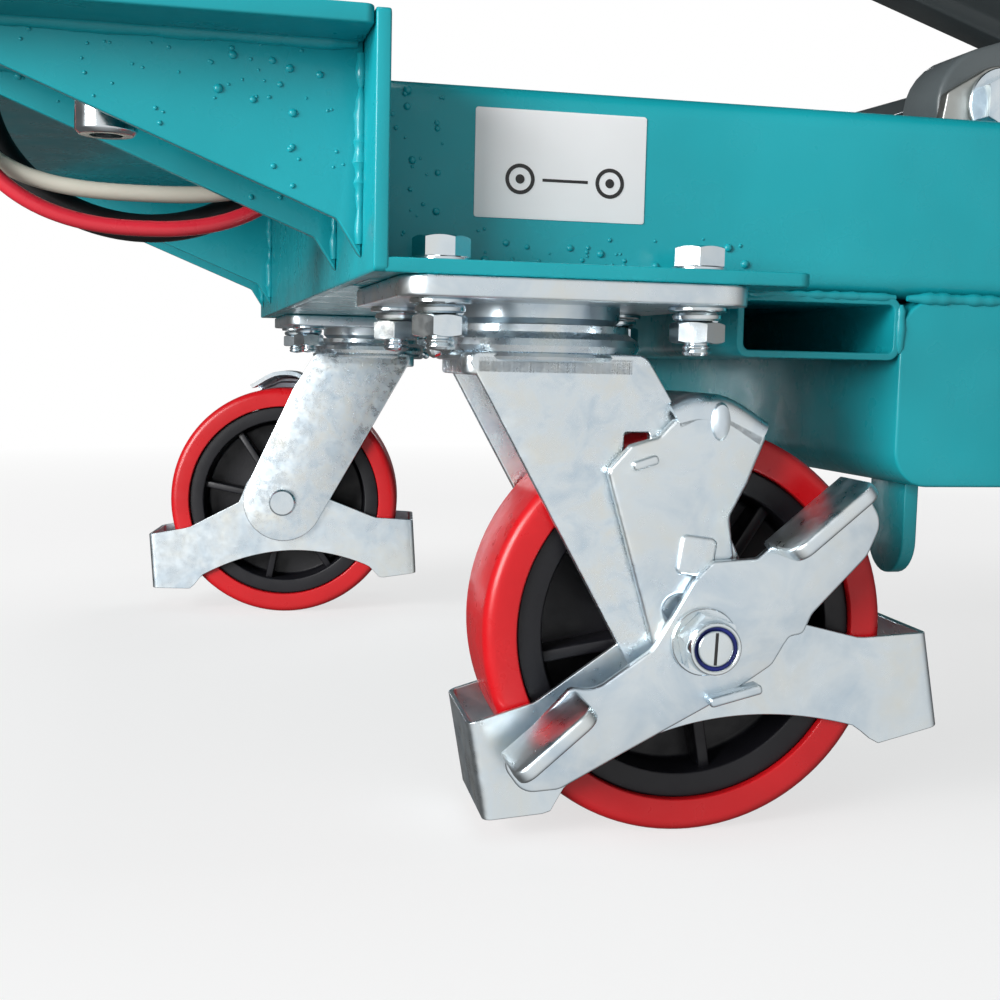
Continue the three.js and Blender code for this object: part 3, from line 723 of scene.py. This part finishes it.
def axle_slot_shade():
    """The slot across the axle's end, drawn as a flat black inlay: painted shade where the groove would be.
    """
    slot = flat_plate(rectangle(-5.6, 5.6, -0.55, 0.55), 0.5, 0.1)
    return on_axle(slot.at(turn(88, "Z")).move(0, 0, 54.9))


def lock_ring():
    return on_axle(turned(rounded([(6.4, 51), (7.8, 51), (7.8, 54.2, 0.5), (6.4, 53.6, 0.4)], 3), 48))


LEVER_OUTLINE = rounded([
    (-17, 33, 6), (-9, 22, 8), (4, 23, 8), (26, 35, 10), (41, 43, 6), (56, 51, 10), (71, 60, 8),
    (80, 66, 8), (84, 73, 6), (86, 76, 3), (91, 77, 3), (94, 84, 8), (114, 105, 14), (119, 117, 9),
    (113, 127, 5), (104, 130, 2), (77, 107.5, 2), (73, 104, 3), (57, 103, 3), (50, 96, 4),
    (36, 72, 12), (16, 58, 14), (7, 59, 3)], 5)


def pedal(start, end, thickness, depth):
    """A flange bent outwards from the lever, with rounded outer corners."""
    root = -38.5
    a, b = Vector((start[0], root, start[1])), Vector((end[0], root, end[1]))
    along = (b - a).normalized()
    length = (b - a).length
    outline = rounded([(0, 0), (length, 0), (length, depth, 6), (0, depth, 6)], 6)
    out = Vector((0, -1, 0))
    stand = Matrix((along, out, along.cross(out))).transposed().to_4x4()
    return flat_plate(outline, thickness, 1.5).move(0, 0, -thickness / 2).at(Matrix.Translation(a) @ stand)


def brake_lever():
    sheet = plate_xz(LEVER_OUTLINE, -40.9, -37.0, 1.0)
    upper = pedal((76.8, 107.6), (105.0, 131.6), 5.4, 29)
    lower = pedal((-15.5, 34.0), (10.3, 56.5), 5.4, 29)
    lip = rounded_bar((56, 53.5), (75, 58.5), -45.5, -38, 3.6)
    return sheet + upper + lower + lip


def grease_nipple():
    tip = solid_turned([(0, 0), (3.2, 0), (3.2, 3.2), (1.8, 4.2), (1.8, 5.6), (2.8, 6.6), (2.4, 8.6),
                        (1.4, 9.4), (0, 9.4)], 24)
    nut = hexagon(7.6, 0, 3.4)
    out = Vector((-0.82, -0.32, -0.47)).normalized()
    stand = out.to_track_quat("Z", "Y").to_matrix().to_4x4()
    return (tip + nut).at(Matrix.Translation((-33.5, -13, 177.5)) @ stand)


def make_caster(name, sx, sy, heading, tilt):
    mounting = Matrix.Translation((sx * KINGPIN_X, sy * KINGPIN_Y, 0))
    swivel = mounting @ turn(heading, "Z")
    carried, rolling, braking = "swivel_" + name, "wheel_" + name, "brake_" + name

    def put(stem, shape, material, body, *replaced, slot="zinc_plate", place=swivel, bevel=0.0):
        nodes = [node + "_" + name for node in replaced]
        piece(stem + "_" + name, shape.at(place), material, body, nodes, bevel)

    put("plated_mount", mounting_plate(), ZINC, "base", "caster_plate", place=mounting)
    put("caster_bolts", caster_bolts(), ZINC_BRIGHT, "base", place=mounting)
    put("fork", caster_fork(), ZINC_CAST, carried, "caster_fork")
    put("brake_shoe", brake_shoe(), ZINC, carried)
    put("grease_nipple", grease_nipple(), ZINC_BRIGHT, carried)
    put("guard_band", toe_guard(tilt), ZINC, carried, "toe_guard", bevel=0.35)
    put("axle_set", axle(), ZINC_BRIGHT, carried, "axle")
    # the black inlay on the axle's end is painted shade for its slot
    put("axle_slot_shade", axle_slot_shade(), INK_AND_SHADE, carried)
    put("lock_ring", lock_ring(), BLUE_NYLON, carried, slot="black_core")
    put("lever", brake_lever(), ZINC, braking, "brake_lever")
    put("tread", tyre(), RED, rolling, "tyre", slot="red_tyre")
    put("core", wheel_core(), NYLON, rolling, "wheel_core", slot="black_core")


make_caster("front_left", -1, -1, -3.2, 10.2)
make_caster("rear_left", -1, 1, 170.7, -4)
make_caster("front_right", 1, -1, 172, -4)
make_caster("rear_right", 1, 1, 14, 6)


# ---- base frame ----
BEAM_FACE = facing_front(0, -BEAM_OUTER, 0)


def side_beam(side):
    y0, y1 = (-BEAM_OUTER, -BEAM_INNER) if side < 0 else (BEAM_INNER, BEAM_OUTER)
    half = FRAME_HALF_LENGTH - WALL - GAP
    outline = rectangle(y0, y1, BEAM_BOTTOM, BEAM_TOP, 8, 8)
    bore = rectangle(y0 + 3.5, y1 - 3.5, BEAM_BOTTOM + 3.5, BEAM_TOP - 3.5, 4.5, 6)
    return plate_yz(outline, -half, half, 0.4, [bore])


def end_plate(end):
    """The flat plates under both beams' ends and the upright plate that closes the end."""
    outer, inner = FRAME_HALF_LENGTH, FRAME_HALF_LENGTH - WALL
    reach = FRAME_HALF_LENGTH - 148.5
    flat_top = BEAM_BOTTOM + WALL
    half = FRAME_HALF_WIDTH
    upright = plate_yz(rectangle(-half, half, BEAM_BOTTOM, 278, 2, 3), inner, outer, 0.7)
    inside, outside, rim = BEAM_INNER - GAP, BEAM_OUTER + GAP, half - GAP
    hidden_end = inner + 1
    flats = [rounded([(reach, side * outside), (hidden_end, side * outside), (hidden_end, side * rim),
                      (reach, side * rim, 5)][::side]) for side in (-1, 1)]
    flats.append(rectangle(reach, hidden_end, -inside, inside, 1, 2))
    whole = upright + together(plate_xy(flat, BEAM_BOTTOM, flat_top, 0.8) for flat in flats)
    return whole if end > 0 else whole.at(MIRROR_X)


def end_welds(end, seed):
    """Beads along the beams' feet on the flat plates, and up the joint of each beam with the end plate."""
    beads = Shape()
    for i, y in enumerate((-BEAM_OUTER, BEAM_OUTER)):
        beads = beads + weld((624, y, 202.3), (482, y, 202.3), 2.3, seed + i, 0.2)
        beads = beads + weld((623.6, y, 205), (623.6, y, 264), 2.0, seed + 4 + i)
    for i, y in enumerate((-BEAM_INNER, BEAM_INNER)):
        beads = beads + weld((624, y, 202.3), (482, y, 202.3), 2.0, seed + 8 + i)
    return beads if end > 0 else beads.at(MIRROR_X)


SIDES = (("front", -1), ("rear", 1))
SHELF_WALL = -FRAME_HALF_LENGTH - GAP
GUSSET_SLANT = ((SHELF_EDGE + 8, 269), (SHELF_WALL - 8, 216))


def shelf():
    """The shelf outside the left end plate and the four gussets that carry it."""
    outer, inner = GUSSET_SLANT
    outline = rounded([(SHELF_EDGE + 4, SHELF_BOTTOM + 1), outer, (*inner, 3), (SHELF_WALL - 1, 205),
                       (SHELF_WALL, 204), (SHELF_WALL, SHELF_BOTTOM + 1)])
    sheet = rectangle(SHELF_EDGE, SHELF_WALL, -FRAME_HALF_WIDTH, FRAME_HALF_WIDTH, 3)
    whole = plate_xy(sheet, SHELF_BOTTOM, SHELF_TOP, 0.9)
    for inner in GUSSETS:
        for y0 in (inner, -inner - WALL):
            whole = whole + plate_xz(outline, y0, y0 + WALL, 0.7)
    return whole


def shelf_welds():
    """Beads under the shelf along each gusset, and down each gusset's joint with the end plate."""
    beads = Shape()
    wall, top = SHELF_WALL, SHELF_BOTTOM - 0.4
    faces = [side * (inner + offset) for inner in GUSSETS for offset in (0, WALL) for side in (-1, 1)]
    for i, y in enumerate(faces):
        beads = beads + weld((SHELF_EDGE + 9, y, top), (wall - 2, y, top), 2.6, 60 + i, 0.08)
        beads = beads + weld((wall - 0.6, y, top - 3), (wall - 0.6, y, 208), 2.1, 80 + i, 0.3)
    return beads


def cross_tube():
    x0, x1 = -490.5, -425.7
    top = BEAM_BOTTOM - GAP
    outline = rectangle(x0, x1, top - 23, top, 4.5, 6)
    bore = rectangle(x0 + 2.6, x1 - 2.6, top - 20.4, top - 2.6, 2.4, 5)
    return plate_xz(outline, -BEAM_OUTER, BEAM_OUTER, 0.5, [bore])


def box_member(x0):
    """A capped box section under the beams, with two rounded lugs on its underside."""
    x1, bottom, top = x0 + 100, 127, BEAM_BOTTOM - GAP
    whole = plate_xz(rectangle(x0, x1, bottom, top, 14, 10), -BEAM_OUTER, BEAM_OUTER, 1.2)
    for y in (-216, 216):
        lug = rounded([(y + 14, bottom + 2), (y - 14, bottom + 2), (y - 14, 104), *arc(y, 104, 14, 180, 360)])
        whole = whole + plate_yz(lug, x0 + 15, x0 + 21, 0.8)
    return whole


def member_welds():
    beads = Shape()
    for i, y in enumerate((-247, 247)):
        beads = beads + weld((-423, y, 197.5), (-328, y, 197.5), 2.2, 100 + i, 0.16)
        beads = beads + weld((423, y, 197.5), (328, y, 197.5), 2.2, 104 + i, 0.16)
        beads = beads + weld((-488, y, 197.5), (-428, y, 197.5), 1.6, 108 + i, 0.16)
        beads = beads + weld((-425.5, y, 195), (-425.5, y, 177), 1.8, 112 + i, 0.16)
    return beads


def gusset_edge(x):
    """Height of a gusset's slanted lower edge."""
    (outer_x, outer_z), (inner_x, inner_z) = GUSSET_SLANT
    return inner_z + (outer_z - inner_z) * (inner_x - x) / (inner_x - outer_x)


def spatter(seed, count, place, x_range, y_range, thin):
    """Drops of weld metal under the paint, thrown over a patch; thin says how they thin out along Y."""
    draw = random.Random(seed)
    drops = Shape()
    for _ in range(count):
        x = draw.uniform(*x_range)
        y = y_range[0] + (y_range[1] - y_range[0]) * draw.random() ** thin
        if x < -FRAME_HALF_LENGTH and y < gusset_edge(x) + 3:
            continue
        radius = 0.5 + 1.1 * draw.random() ** 3
        drops = drops + dome(radius, radius * 0.75).move(x, y, 0)
    return drops.at(place)


def all_spatter():
    near_gusset, next_gusset = (facing_front(0, -inner - WALL, 0) for inner in GUSSETS[::-1])
    flat = Matrix.Translation((0, 0, BEAM_BOTTOM + WALL))
    patches = (
        (90, near_gusset, (-765, -634), (271, 224), 1.5),
        (24, BEAM_FACE, (-619, -600), (206, 262), 1.0),
        (46, BEAM_FACE, (-615, -486), (204, 216), 1.8),
        (60, next_gusset, (-760, -640), (270, 218), 1.2),
        (30, flat, (-618, -490), (-250, -284), 1.6),
        (50, MIRROR_Y @ near_gusset, (-765, -640), (271, 224), 1.8),
        (40, MIRROR_Y @ BEAM_FACE, (-615, -486), (204, 216), 1.8),
        (40, BEAM_FACE, (486, 615), (204, 216), 1.8),
    )
    return together(spatter(seed, *patch) for seed, patch in enumerate(patches, 1))


def shelf_screw():
    """The socket screw that holds the power unit, seen from below between the front gussets."""
    low = 243.5
    hexagon_wall = [(0, low + 6), (5.6, low + 6), (5.6, low)]
    rim = rounded([(5.6, low), (9, low, 0.8), (10.4, low + 1.4, 1), (10.4, low + 16), (5.6, low + 16)], 3)
    profile = hexagon_wall + [p for p in rim if p[0] > 5.7] + [(0, low + 16)]
    return (solid_turned(profile, 40) + rod(6, low + 15, SHELF_BOTTOM)).move(-711, -225, 0)


for name, side in SIDES:
    piece("beam_" + name, side_beam(side), TEAL, "base", ["side_beam_" + name])
for name, end in (("left", -1), ("right", 1)):
    piece("end_" + name, end_plate(end), TEAL, "base", ["end_plate_" + name])
    piece("end_welds_" + name, end_welds(end, 20 if end < 0 else 40), TEAL, "base")
    member = box_member(-425.4 if end < 0 else 325.4)
    piece("box_" + name, member, TEAL, "base", ["box_member_" + name])
piece("unit_shelf", shelf(), TEAL, "base", ["shelf"])
piece("shelf_welds", shelf_welds(), TEAL, "base")
piece("open_tube", cross_tube(), TEAL, "base", ["cross_tube"])
piece("member_welds", member_welds(), TEAL, "base")
piece("spatter", all_spatter(), TEAL, "base")
piece("shelf_screw", shelf_screw(), ZINC_BRIGHT, "base")


def label_shapes():
    """A plain white label with a generic mark: two rings joined by a bar."""
    x0, x1, z0, z1 = -588.7, -527.4, 219.9, 256.9
    sheet = plate_xy(rectangle(x0, x1, z0, z1, 1), -0.1, 0.35, 0.1)
    middle = (z0 + z1) / 2 - 5

    def ink(outline, *holes):
        return plate_xy(outline, 0.3, 0.5, 0.02, holes)

    def ringed_dot(x):
        return ink(circle(x, middle, 5.2, 36), circle(x, middle, 3.9, 36)) + ink(circle(x, middle, 1.6, 24))

    mark = ringed_dot(x0 + 16) + ringed_dot(x1 - 13)
    mark = mark + ink(rectangle(x0 + 24, x1 - 21, middle - 0.5, middle + 0.5))
    return sheet.at(BEAM_FACE), mark.at(BEAM_FACE)


label_sheet, label_mark = label_shapes()
piece("label", label_sheet, LABEL, "base")
piece("label_mark", label_mark, INK_AND_SHADE, "base")


# ---- scissor arms ----
IN_OUTER_ARMS = Matrix.Translation((PIVOT_X, 0, PIVOT_Z)) @ Matrix.Rotation(-REST_ANGLE, 4, "Y")
IN_INNER_ARMS = Matrix.Translation((PIVOT_X, 0, UPPER_Z)) @ Matrix.Rotation(REST_ANGLE, 4, "Y")


def bar_across(x, z, radius, y0, y1):
    """A round bar along Y, between y0 and y1."""
    return rod(radius, -max(y0, y1), -min(y0, y1)).at(facing_front(x, 0, z))


def arm_plate(y0, y1, holes):
    outline = arc(0, 0, 25, 90, 270) + arc(ARM_LENGTH, 0, 25, -90, 90)
    return plate_xz(outline, y0, y1, 2.2, [circle(x, 0, 10.6, 36) for x in holes])


def outer_arm(side):
    return (arm_plate(side * 161.5, side * 191.5, [0])
            + bar_across(ARM_LENGTH / 2, 0, 10, side * 124.5, side * 166.5)
            + bar_across(ARM_LENGTH, 0, 6, side * 166.5, side * 230))


def inner_arm(side):
    return (arm_plate(side * 127.5, side * 157.5, [0, ARM_LENGTH / 2])
            + bar_across(ARM_LENGTH, 0, 6, side * 132.5, side * 230))


def roller(side, radius):
    """A turned roller with a chamfered rim and a shallow hub."""
    y0, y1 = 202, 228
    bore, hub, face = 6.4, max(9, radius * 0.45), radius - 3
    profile = rounded([
        (bore, y0), (hub, y0), (hub + 1, y0 + 1.5, 1), (face, y0 + 1.5, 1), (radius, y0 + 3, 1),
        (radius, y1 - 3, 1), (face, y1 - 1.5, 1), (hub + 1, y1 - 1.5, 1), (hub, y1), (bore, y1)], 2)
    shape = turned(profile, 64).at(Matrix.Translation((ARM_LENGTH, 0, 0)) @ turn(-90, "X"))
    return shape if side > 0 else shape.at(MIRROR_Y)


for name, side in SIDES:
    upper, lower = "upper_roller_" + name, "lower_roller_" + name
    long_arm, short_arm = outer_arm(side).at(IN_OUTER_ARMS), inner_arm(side).at(IN_INNER_ARMS)
    piece("long_arm_" + name, long_arm, CHARCOAL, "outer_arms", ["outer_arm_" + name])
    piece("short_arm_" + name, short_arm, CHARCOAL, "inner_arms", ["inner_arm_" + name])
    piece("top_wheel_" + name, roller(side, 29).at(IN_OUTER_ARMS), GREY_STEEL, upper, [upper])
    piece("track_wheel_" + name, roller(side, 14.7).at(IN_INNER_ARMS), GREY_STEEL, lower, [lower])
push_tube = bar_across(PUSH_BAR_ALONG, 0, 12, -161.2, 161.2).at(IN_OUTER_ARMS)
tie_tube = bar_across(605, 0, 16, -127.2, 127.2).at(IN_INNER_ARMS)
piece("push_tube", push_tube, CHARCOAL, "outer_arms", ["push_bar"])
piece("tie_tube", tie_tube, CHARCOAL, "inner_arms", ["inner_arm_tie"])


def pivot_lug(side):
    outline = rounded([(-34, 197.7), (26, 197.7), (16, PIVOT_Z), *arc(0, PIVOT_Z, 16, 4, 130, 12),
                       (-24, PIVOT_Z + 4, 3), (-26, PIVOT_Z - 8, 3)])
    hole = circle(0, PIVOT_Z, 10.5, 36)
    return plate_xz(outline, side * 191.8, side * 197.7, 0.8, [hole]).move(PIVOT_X, 0, 0)


def pivot_shaft():
    """The shaft with its bolt head, washers and nut over the beams."""
    shaft = rod(10, -204, 204)
    front = washer(15, 198, 200) + hexagon(22, 200, 208.4)
    rear = (washer(15, 198, 200) + hexagon(22, 200, 208)).at(turn(180, "X"))
    return (shaft + front + rear).at(facing_front(PIVOT_X, 0, PIVOT_Z))


piece("lug_front", pivot_lug(-1), GREY_STEEL, "base", ["pivot_lug_front"])
piece("lug_rear", pivot_lug(1), GREY_STEEL, "base", ["pivot_lug_rear"])
piece("pivot_pin", pivot_shaft(), ZINC_BRIGHT, "base", ["pivot_shaft"])


# ---- platform ----
def platform_rail(side):
    """A rail under the platform, deep at the pin that carries the inner arm and shallow over the push bar."""
    top = PLATFORM_BOTTOM - GAP
    deep, shallow = top - 52, top - 30
    outline = rounded([(PIVOT_X - 40, top), (PIVOT_X - 40, deep, 6), (PIVOT_X + 40, deep, 8),
                       (PIVOT_X + 70, shallow, 8), (560, shallow, 6), (560, top)])
    return (plate_xz(outline, side * 115.5, side * 122.5, 1.2)
            + bar_across(PIVOT_X, UPPER_Z, 10, side * 119.5, side * 159.5))


deck = plate_xy(rectangle(-620, 620, -316, 316, 20, 8), PLATFORM_BOTTOM, PLATFORM_TOP, 1.6)
piece("deck", deck, CHARCOAL, "platform", ["platform_plate"])
for name, side in SIDES:
    piece("deck_rail_" + name, platform_rail(side), CHARCOAL, "platform", ["platform_rail_" + name])


# ---- hydraulic cylinder, drawn along +X from the barrel's eye ----
SPAN_X = PIVOT_X + PUSH_BAR_ALONG * math.cos(REST_ANGLE) - BARREL_X
SPAN_Z = PIVOT_Z + PUSH_BAR_ALONG * math.sin(REST_ANGLE) - BARREL_Z
CYLINDER_SPAN = math.hypot(SPAN_X, SPAN_Z)
IN_CYLINDER = (Matrix.Translation((BARREL_X, 0, BARREL_Z))
               @ Matrix.Rotation(-math.atan2(SPAN_Z, SPAN_X), 4, "Y"))


def along_x(shape):
    return shape.at(turn(90, "Y"))


def eye(inner, outer, sides):
    ring = rounded([(inner, -14), (outer, -14, 1.5), (outer, 14, 1.5), (inner, 14)], 3)
    return turned(ring, sides).at(turn(90, "X"))


def barrel():
    bore, tube, collar = 14.4, 28, 30
    end = CYLINDER_SPAN - 90
    body = turned(rounded([(bore, 29), (tube, 29, 2), (tube, end - 22, 1), (collar, end - 21, 1),
                           (collar, end, 2), (bore, end, 1)], 3), 64)
    port = rod(7, 18, 30).at(turn(90, "Y")).move(0, 0, 60)
    return along_x(body + rod(14, 12, 36) + port) + eye(8.3, 20, 48)


def cylinder_rod():
    shank = rod(14, 70, CYLINDER_SPAN - 22)
    return along_x(shank) + eye(21, 29, 64).move(CYLINDER_SPAN, 0, 0)


piece("barrel_tube", barrel().at(IN_CYLINDER), BLACK, "barrel", ["cylinder_barrel"])
piece("piston_rod", cylinder_rod().at(IN_CYLINDER), CHROME, "rod", ["cylinder_rod"])


# ---- power unit on the shelf ----
UNIT_X = -FRAME_HALF_LENGTH - (-SHELF_EDGE - FRAME_HALF_LENGTH) / 2 - 2


def oil_tank():
    top = SHELF_TOP + 128
    body = plate_xz(rectangle(UNIT_X - 62, UNIT_X + 62, SHELF_TOP + GAP, top, 12, 8), 10, 220, 2.5)
    block = plate_xz(rectangle(UNIT_X - 40, UNIT_X + 40, SHELF_TOP + 24, SHELF_TOP + 104, 3), -30, 14, 1.2)
    cap = solid_turned([(0, -4), (13, -4), (13, 6), (16, 7), (16, 16), (14.6, 18), (0, 18)], 48)
    return body + block + cap.move(UNIT_X, 120, top)


def pump_motor():
    """The motor's ribbed body along Y, its fan cover, terminal box and foot."""
    axis = SHELF_TOP + 64
    profile = [(0, 30.3), (44, 30.3), (48, 33)]
    y = 40
    while y < 186:
        profile += [(48, y), (45.6, y + 1), (45.6, y + 3.4), (48, y + 4.4)]
        y += 8.6
    profile += [(48, 194), (46.5, 196), (41, 198), (40, 200), (40, 211), (37, 214), (12, 214), (0, 213)]
    body = solid_turned(profile, 72).at(facing_front(UNIT_X, 0, axis))
    box = plate_xy(rectangle(UNIT_X - 26, UNIT_X + 26, -160, -80, 5), SHELF_TOP + 100, SHELF_TOP + 136, 2)
    foot = plate_xy(rectangle(UNIT_X - 34, UNIT_X + 34, -170, -60, 4), SHELF_TOP + GAP, SHELF_TOP + 30, 1.5)
    return body + box + foot


piece("tank", oil_tank(), BLACK, "base", ["oil_tank"])
piece("motor", pump_motor(), CHARCOAL, "base", ["pump_motor"])


# ---- push handle ----
def push_handle():
    foot_x, grip_x = FRAME_HALF_LENGTH + 15, FRAME_HALF_LENGTH + 146.5 - 14
    half, foot_z, bend_z, grip_z = 200, 212, 420, 900
    corners = [(foot_x, -half, foot_z), (foot_x, -half, bend_z), (grip_x, -half, grip_z),
               (grip_x, half, grip_z), (foot_x, half, bend_z), (foot_x, half, foot_z)]
    return sweep(bent_path(corners, 70, 14), 14, 28)


piece("handle_tube", push_handle(), CHARCOAL, "base", ["push_handle"])


# ---- hoses and cable, in loops that hang under the shelf behind the second gusset ----
HOSE_TOP = SHELF_BOTTOM - 1
LOOP_STEPS = 60


def hanging_loop(name, y, radius, centre_x, half_width, drop, squareness, material):
    """Half of a superellipse: half_width each way from centre_x, and drop below the shelf."""
    path = []
    for i in range(LOOP_STEPS + 1):
        angle = math.pi * i / LOOP_STEPS
        across = -math.copysign(abs(math.cos(angle)) ** (2 / squareness), math.cos(angle))
        down = abs(math.sin(angle)) ** (2 / squareness)
        path.append(Vector((centre_x + half_width * across, y, HOSE_TOP - drop * down)))
    obj = piece(name + "_run", sweep(path, radius, 24), material, "base", [name])


hanging_loop("red_hose", -172, 3, -700, 66, 54, 2.35, RED_HOSE)
hanging_loop("power_cable", -163, 3.2, -700, 66, 40, 2.8, BEIGE)
hanging_loop("black_hose", -150, 5.5, -700, 60, 52, 2, RUBBER)


WORLD_FRONT, WORLD_BACK = 0.5, 0.06
WORLD_SHINE = 0.75              # how much brighter the studio is in reflections


def make_floor():
    """A pale floor that fades to plain white away from the object."""
    mesh = bpy.data.meshes.new("floor")
    half = 12
    corners = [(-half, -half, 0), (half, -half, 0), (half, half, 0), (-half, half, 0)]
    mesh.from_pydata(corners, [], [(0, 1, 2, 3)])
    material, tree, shader = new_material("floor_pale", {"Roughness": 0.8, "Specular IOR Level": 0.1})
    greys = [(0.3, (0.79, 0.79, 0.79)), (0.7, (0.81, 0.81, 0.81))]
    wire(tree, shader, {"Base Color": ramp(tree, noise(tree, 900, 1), greys)})
    place = add_node(tree, "TexCoord").outputs["Object"]
    distance = add_node(tree, "VectorMath", {0: place}, "LENGTH").outputs["Value"]
    far = spread(tree, distance, 0.7, 1, 1.0, 2.1)
    glow = add_node(tree, "Emission")
    mix = add_node(tree, "MixShader", {0: far, 1: shader.outputs[0], 2: glow.outputs[0]})
    wire(tree, tree.nodes["Material Output"], {"Surface": mix.outputs[0]})
    mesh.materials.append(material)
    floor = add_object("floor", mesh)
    floor.visible_diffuse = False
    floor.visible_glossy = False


def soft_light(name, place, target, size, power):
    data = bpy.data.lights.new(name, "AREA")
    data.shape = "RECTANGLE"
    data.size, data.size_y = size
    data.energy = power
    light = add_object(name, data)
    light.location = place
    light.rotation_euler = (Vector(target) - Vector(place)).to_track_quat("-Z", "Y").to_euler()


def make_world():
    """A white studio: bright in front of the machine and dim behind it, and plain white as a background."""
    world = bpy.data.worlds.new("studio")
    world.use_nodes = True
    tree = world.node_tree
    around = tree.nodes["Background"]
    white = (1, 1, 1, 1)
    towards = add_node(tree, "SeparateXYZ", {0: add_node(tree, "TexCoord").outputs["Generated"]})
    seen = add_node(tree, "LightPath")
    shine = add_node(tree, "Math", {0: seen.outputs["Is Glossy Ray"], 1: WORLD_SHINE, 2: 1}, "MULTIPLY_ADD")
    level = spread(tree, towards.outputs["Y"], WORLD_FRONT, WORLD_BACK, -0.9, 0.1)
    strength = add_node(tree, "Math", {0: level, 1: shine.outputs[0]}, "MULTIPLY")
    wire(tree, around, {"Color": white, "Strength": strength.outputs[0]})
    backdrop = add_node(tree, "Background", {"Color": white})
    mix = add_node(tree, "MixShader", {
        0: seen.outputs["Is Camera Ray"], 1: around.outputs[0], 2: backdrop.outputs[0]})
    wire(tree, tree.nodes["World Output"], {"Surface": mix.outputs[0]})
    scene.world = world


make_floor()
make_world()
soft_light("key", (-2.5, -1.35, 0.8), (-0.5, -0.2, 0.2), (1.3, 1.2), 80)
soft_light("top", (-0.2, 0.1, 2.4), (-0.2, 0, 0.2), (2.0, 1.4), 24)
soft_light("back", (1.6, 2.4, 1.8), (0, 0, 0.2), (1.6, 1.2), 26)
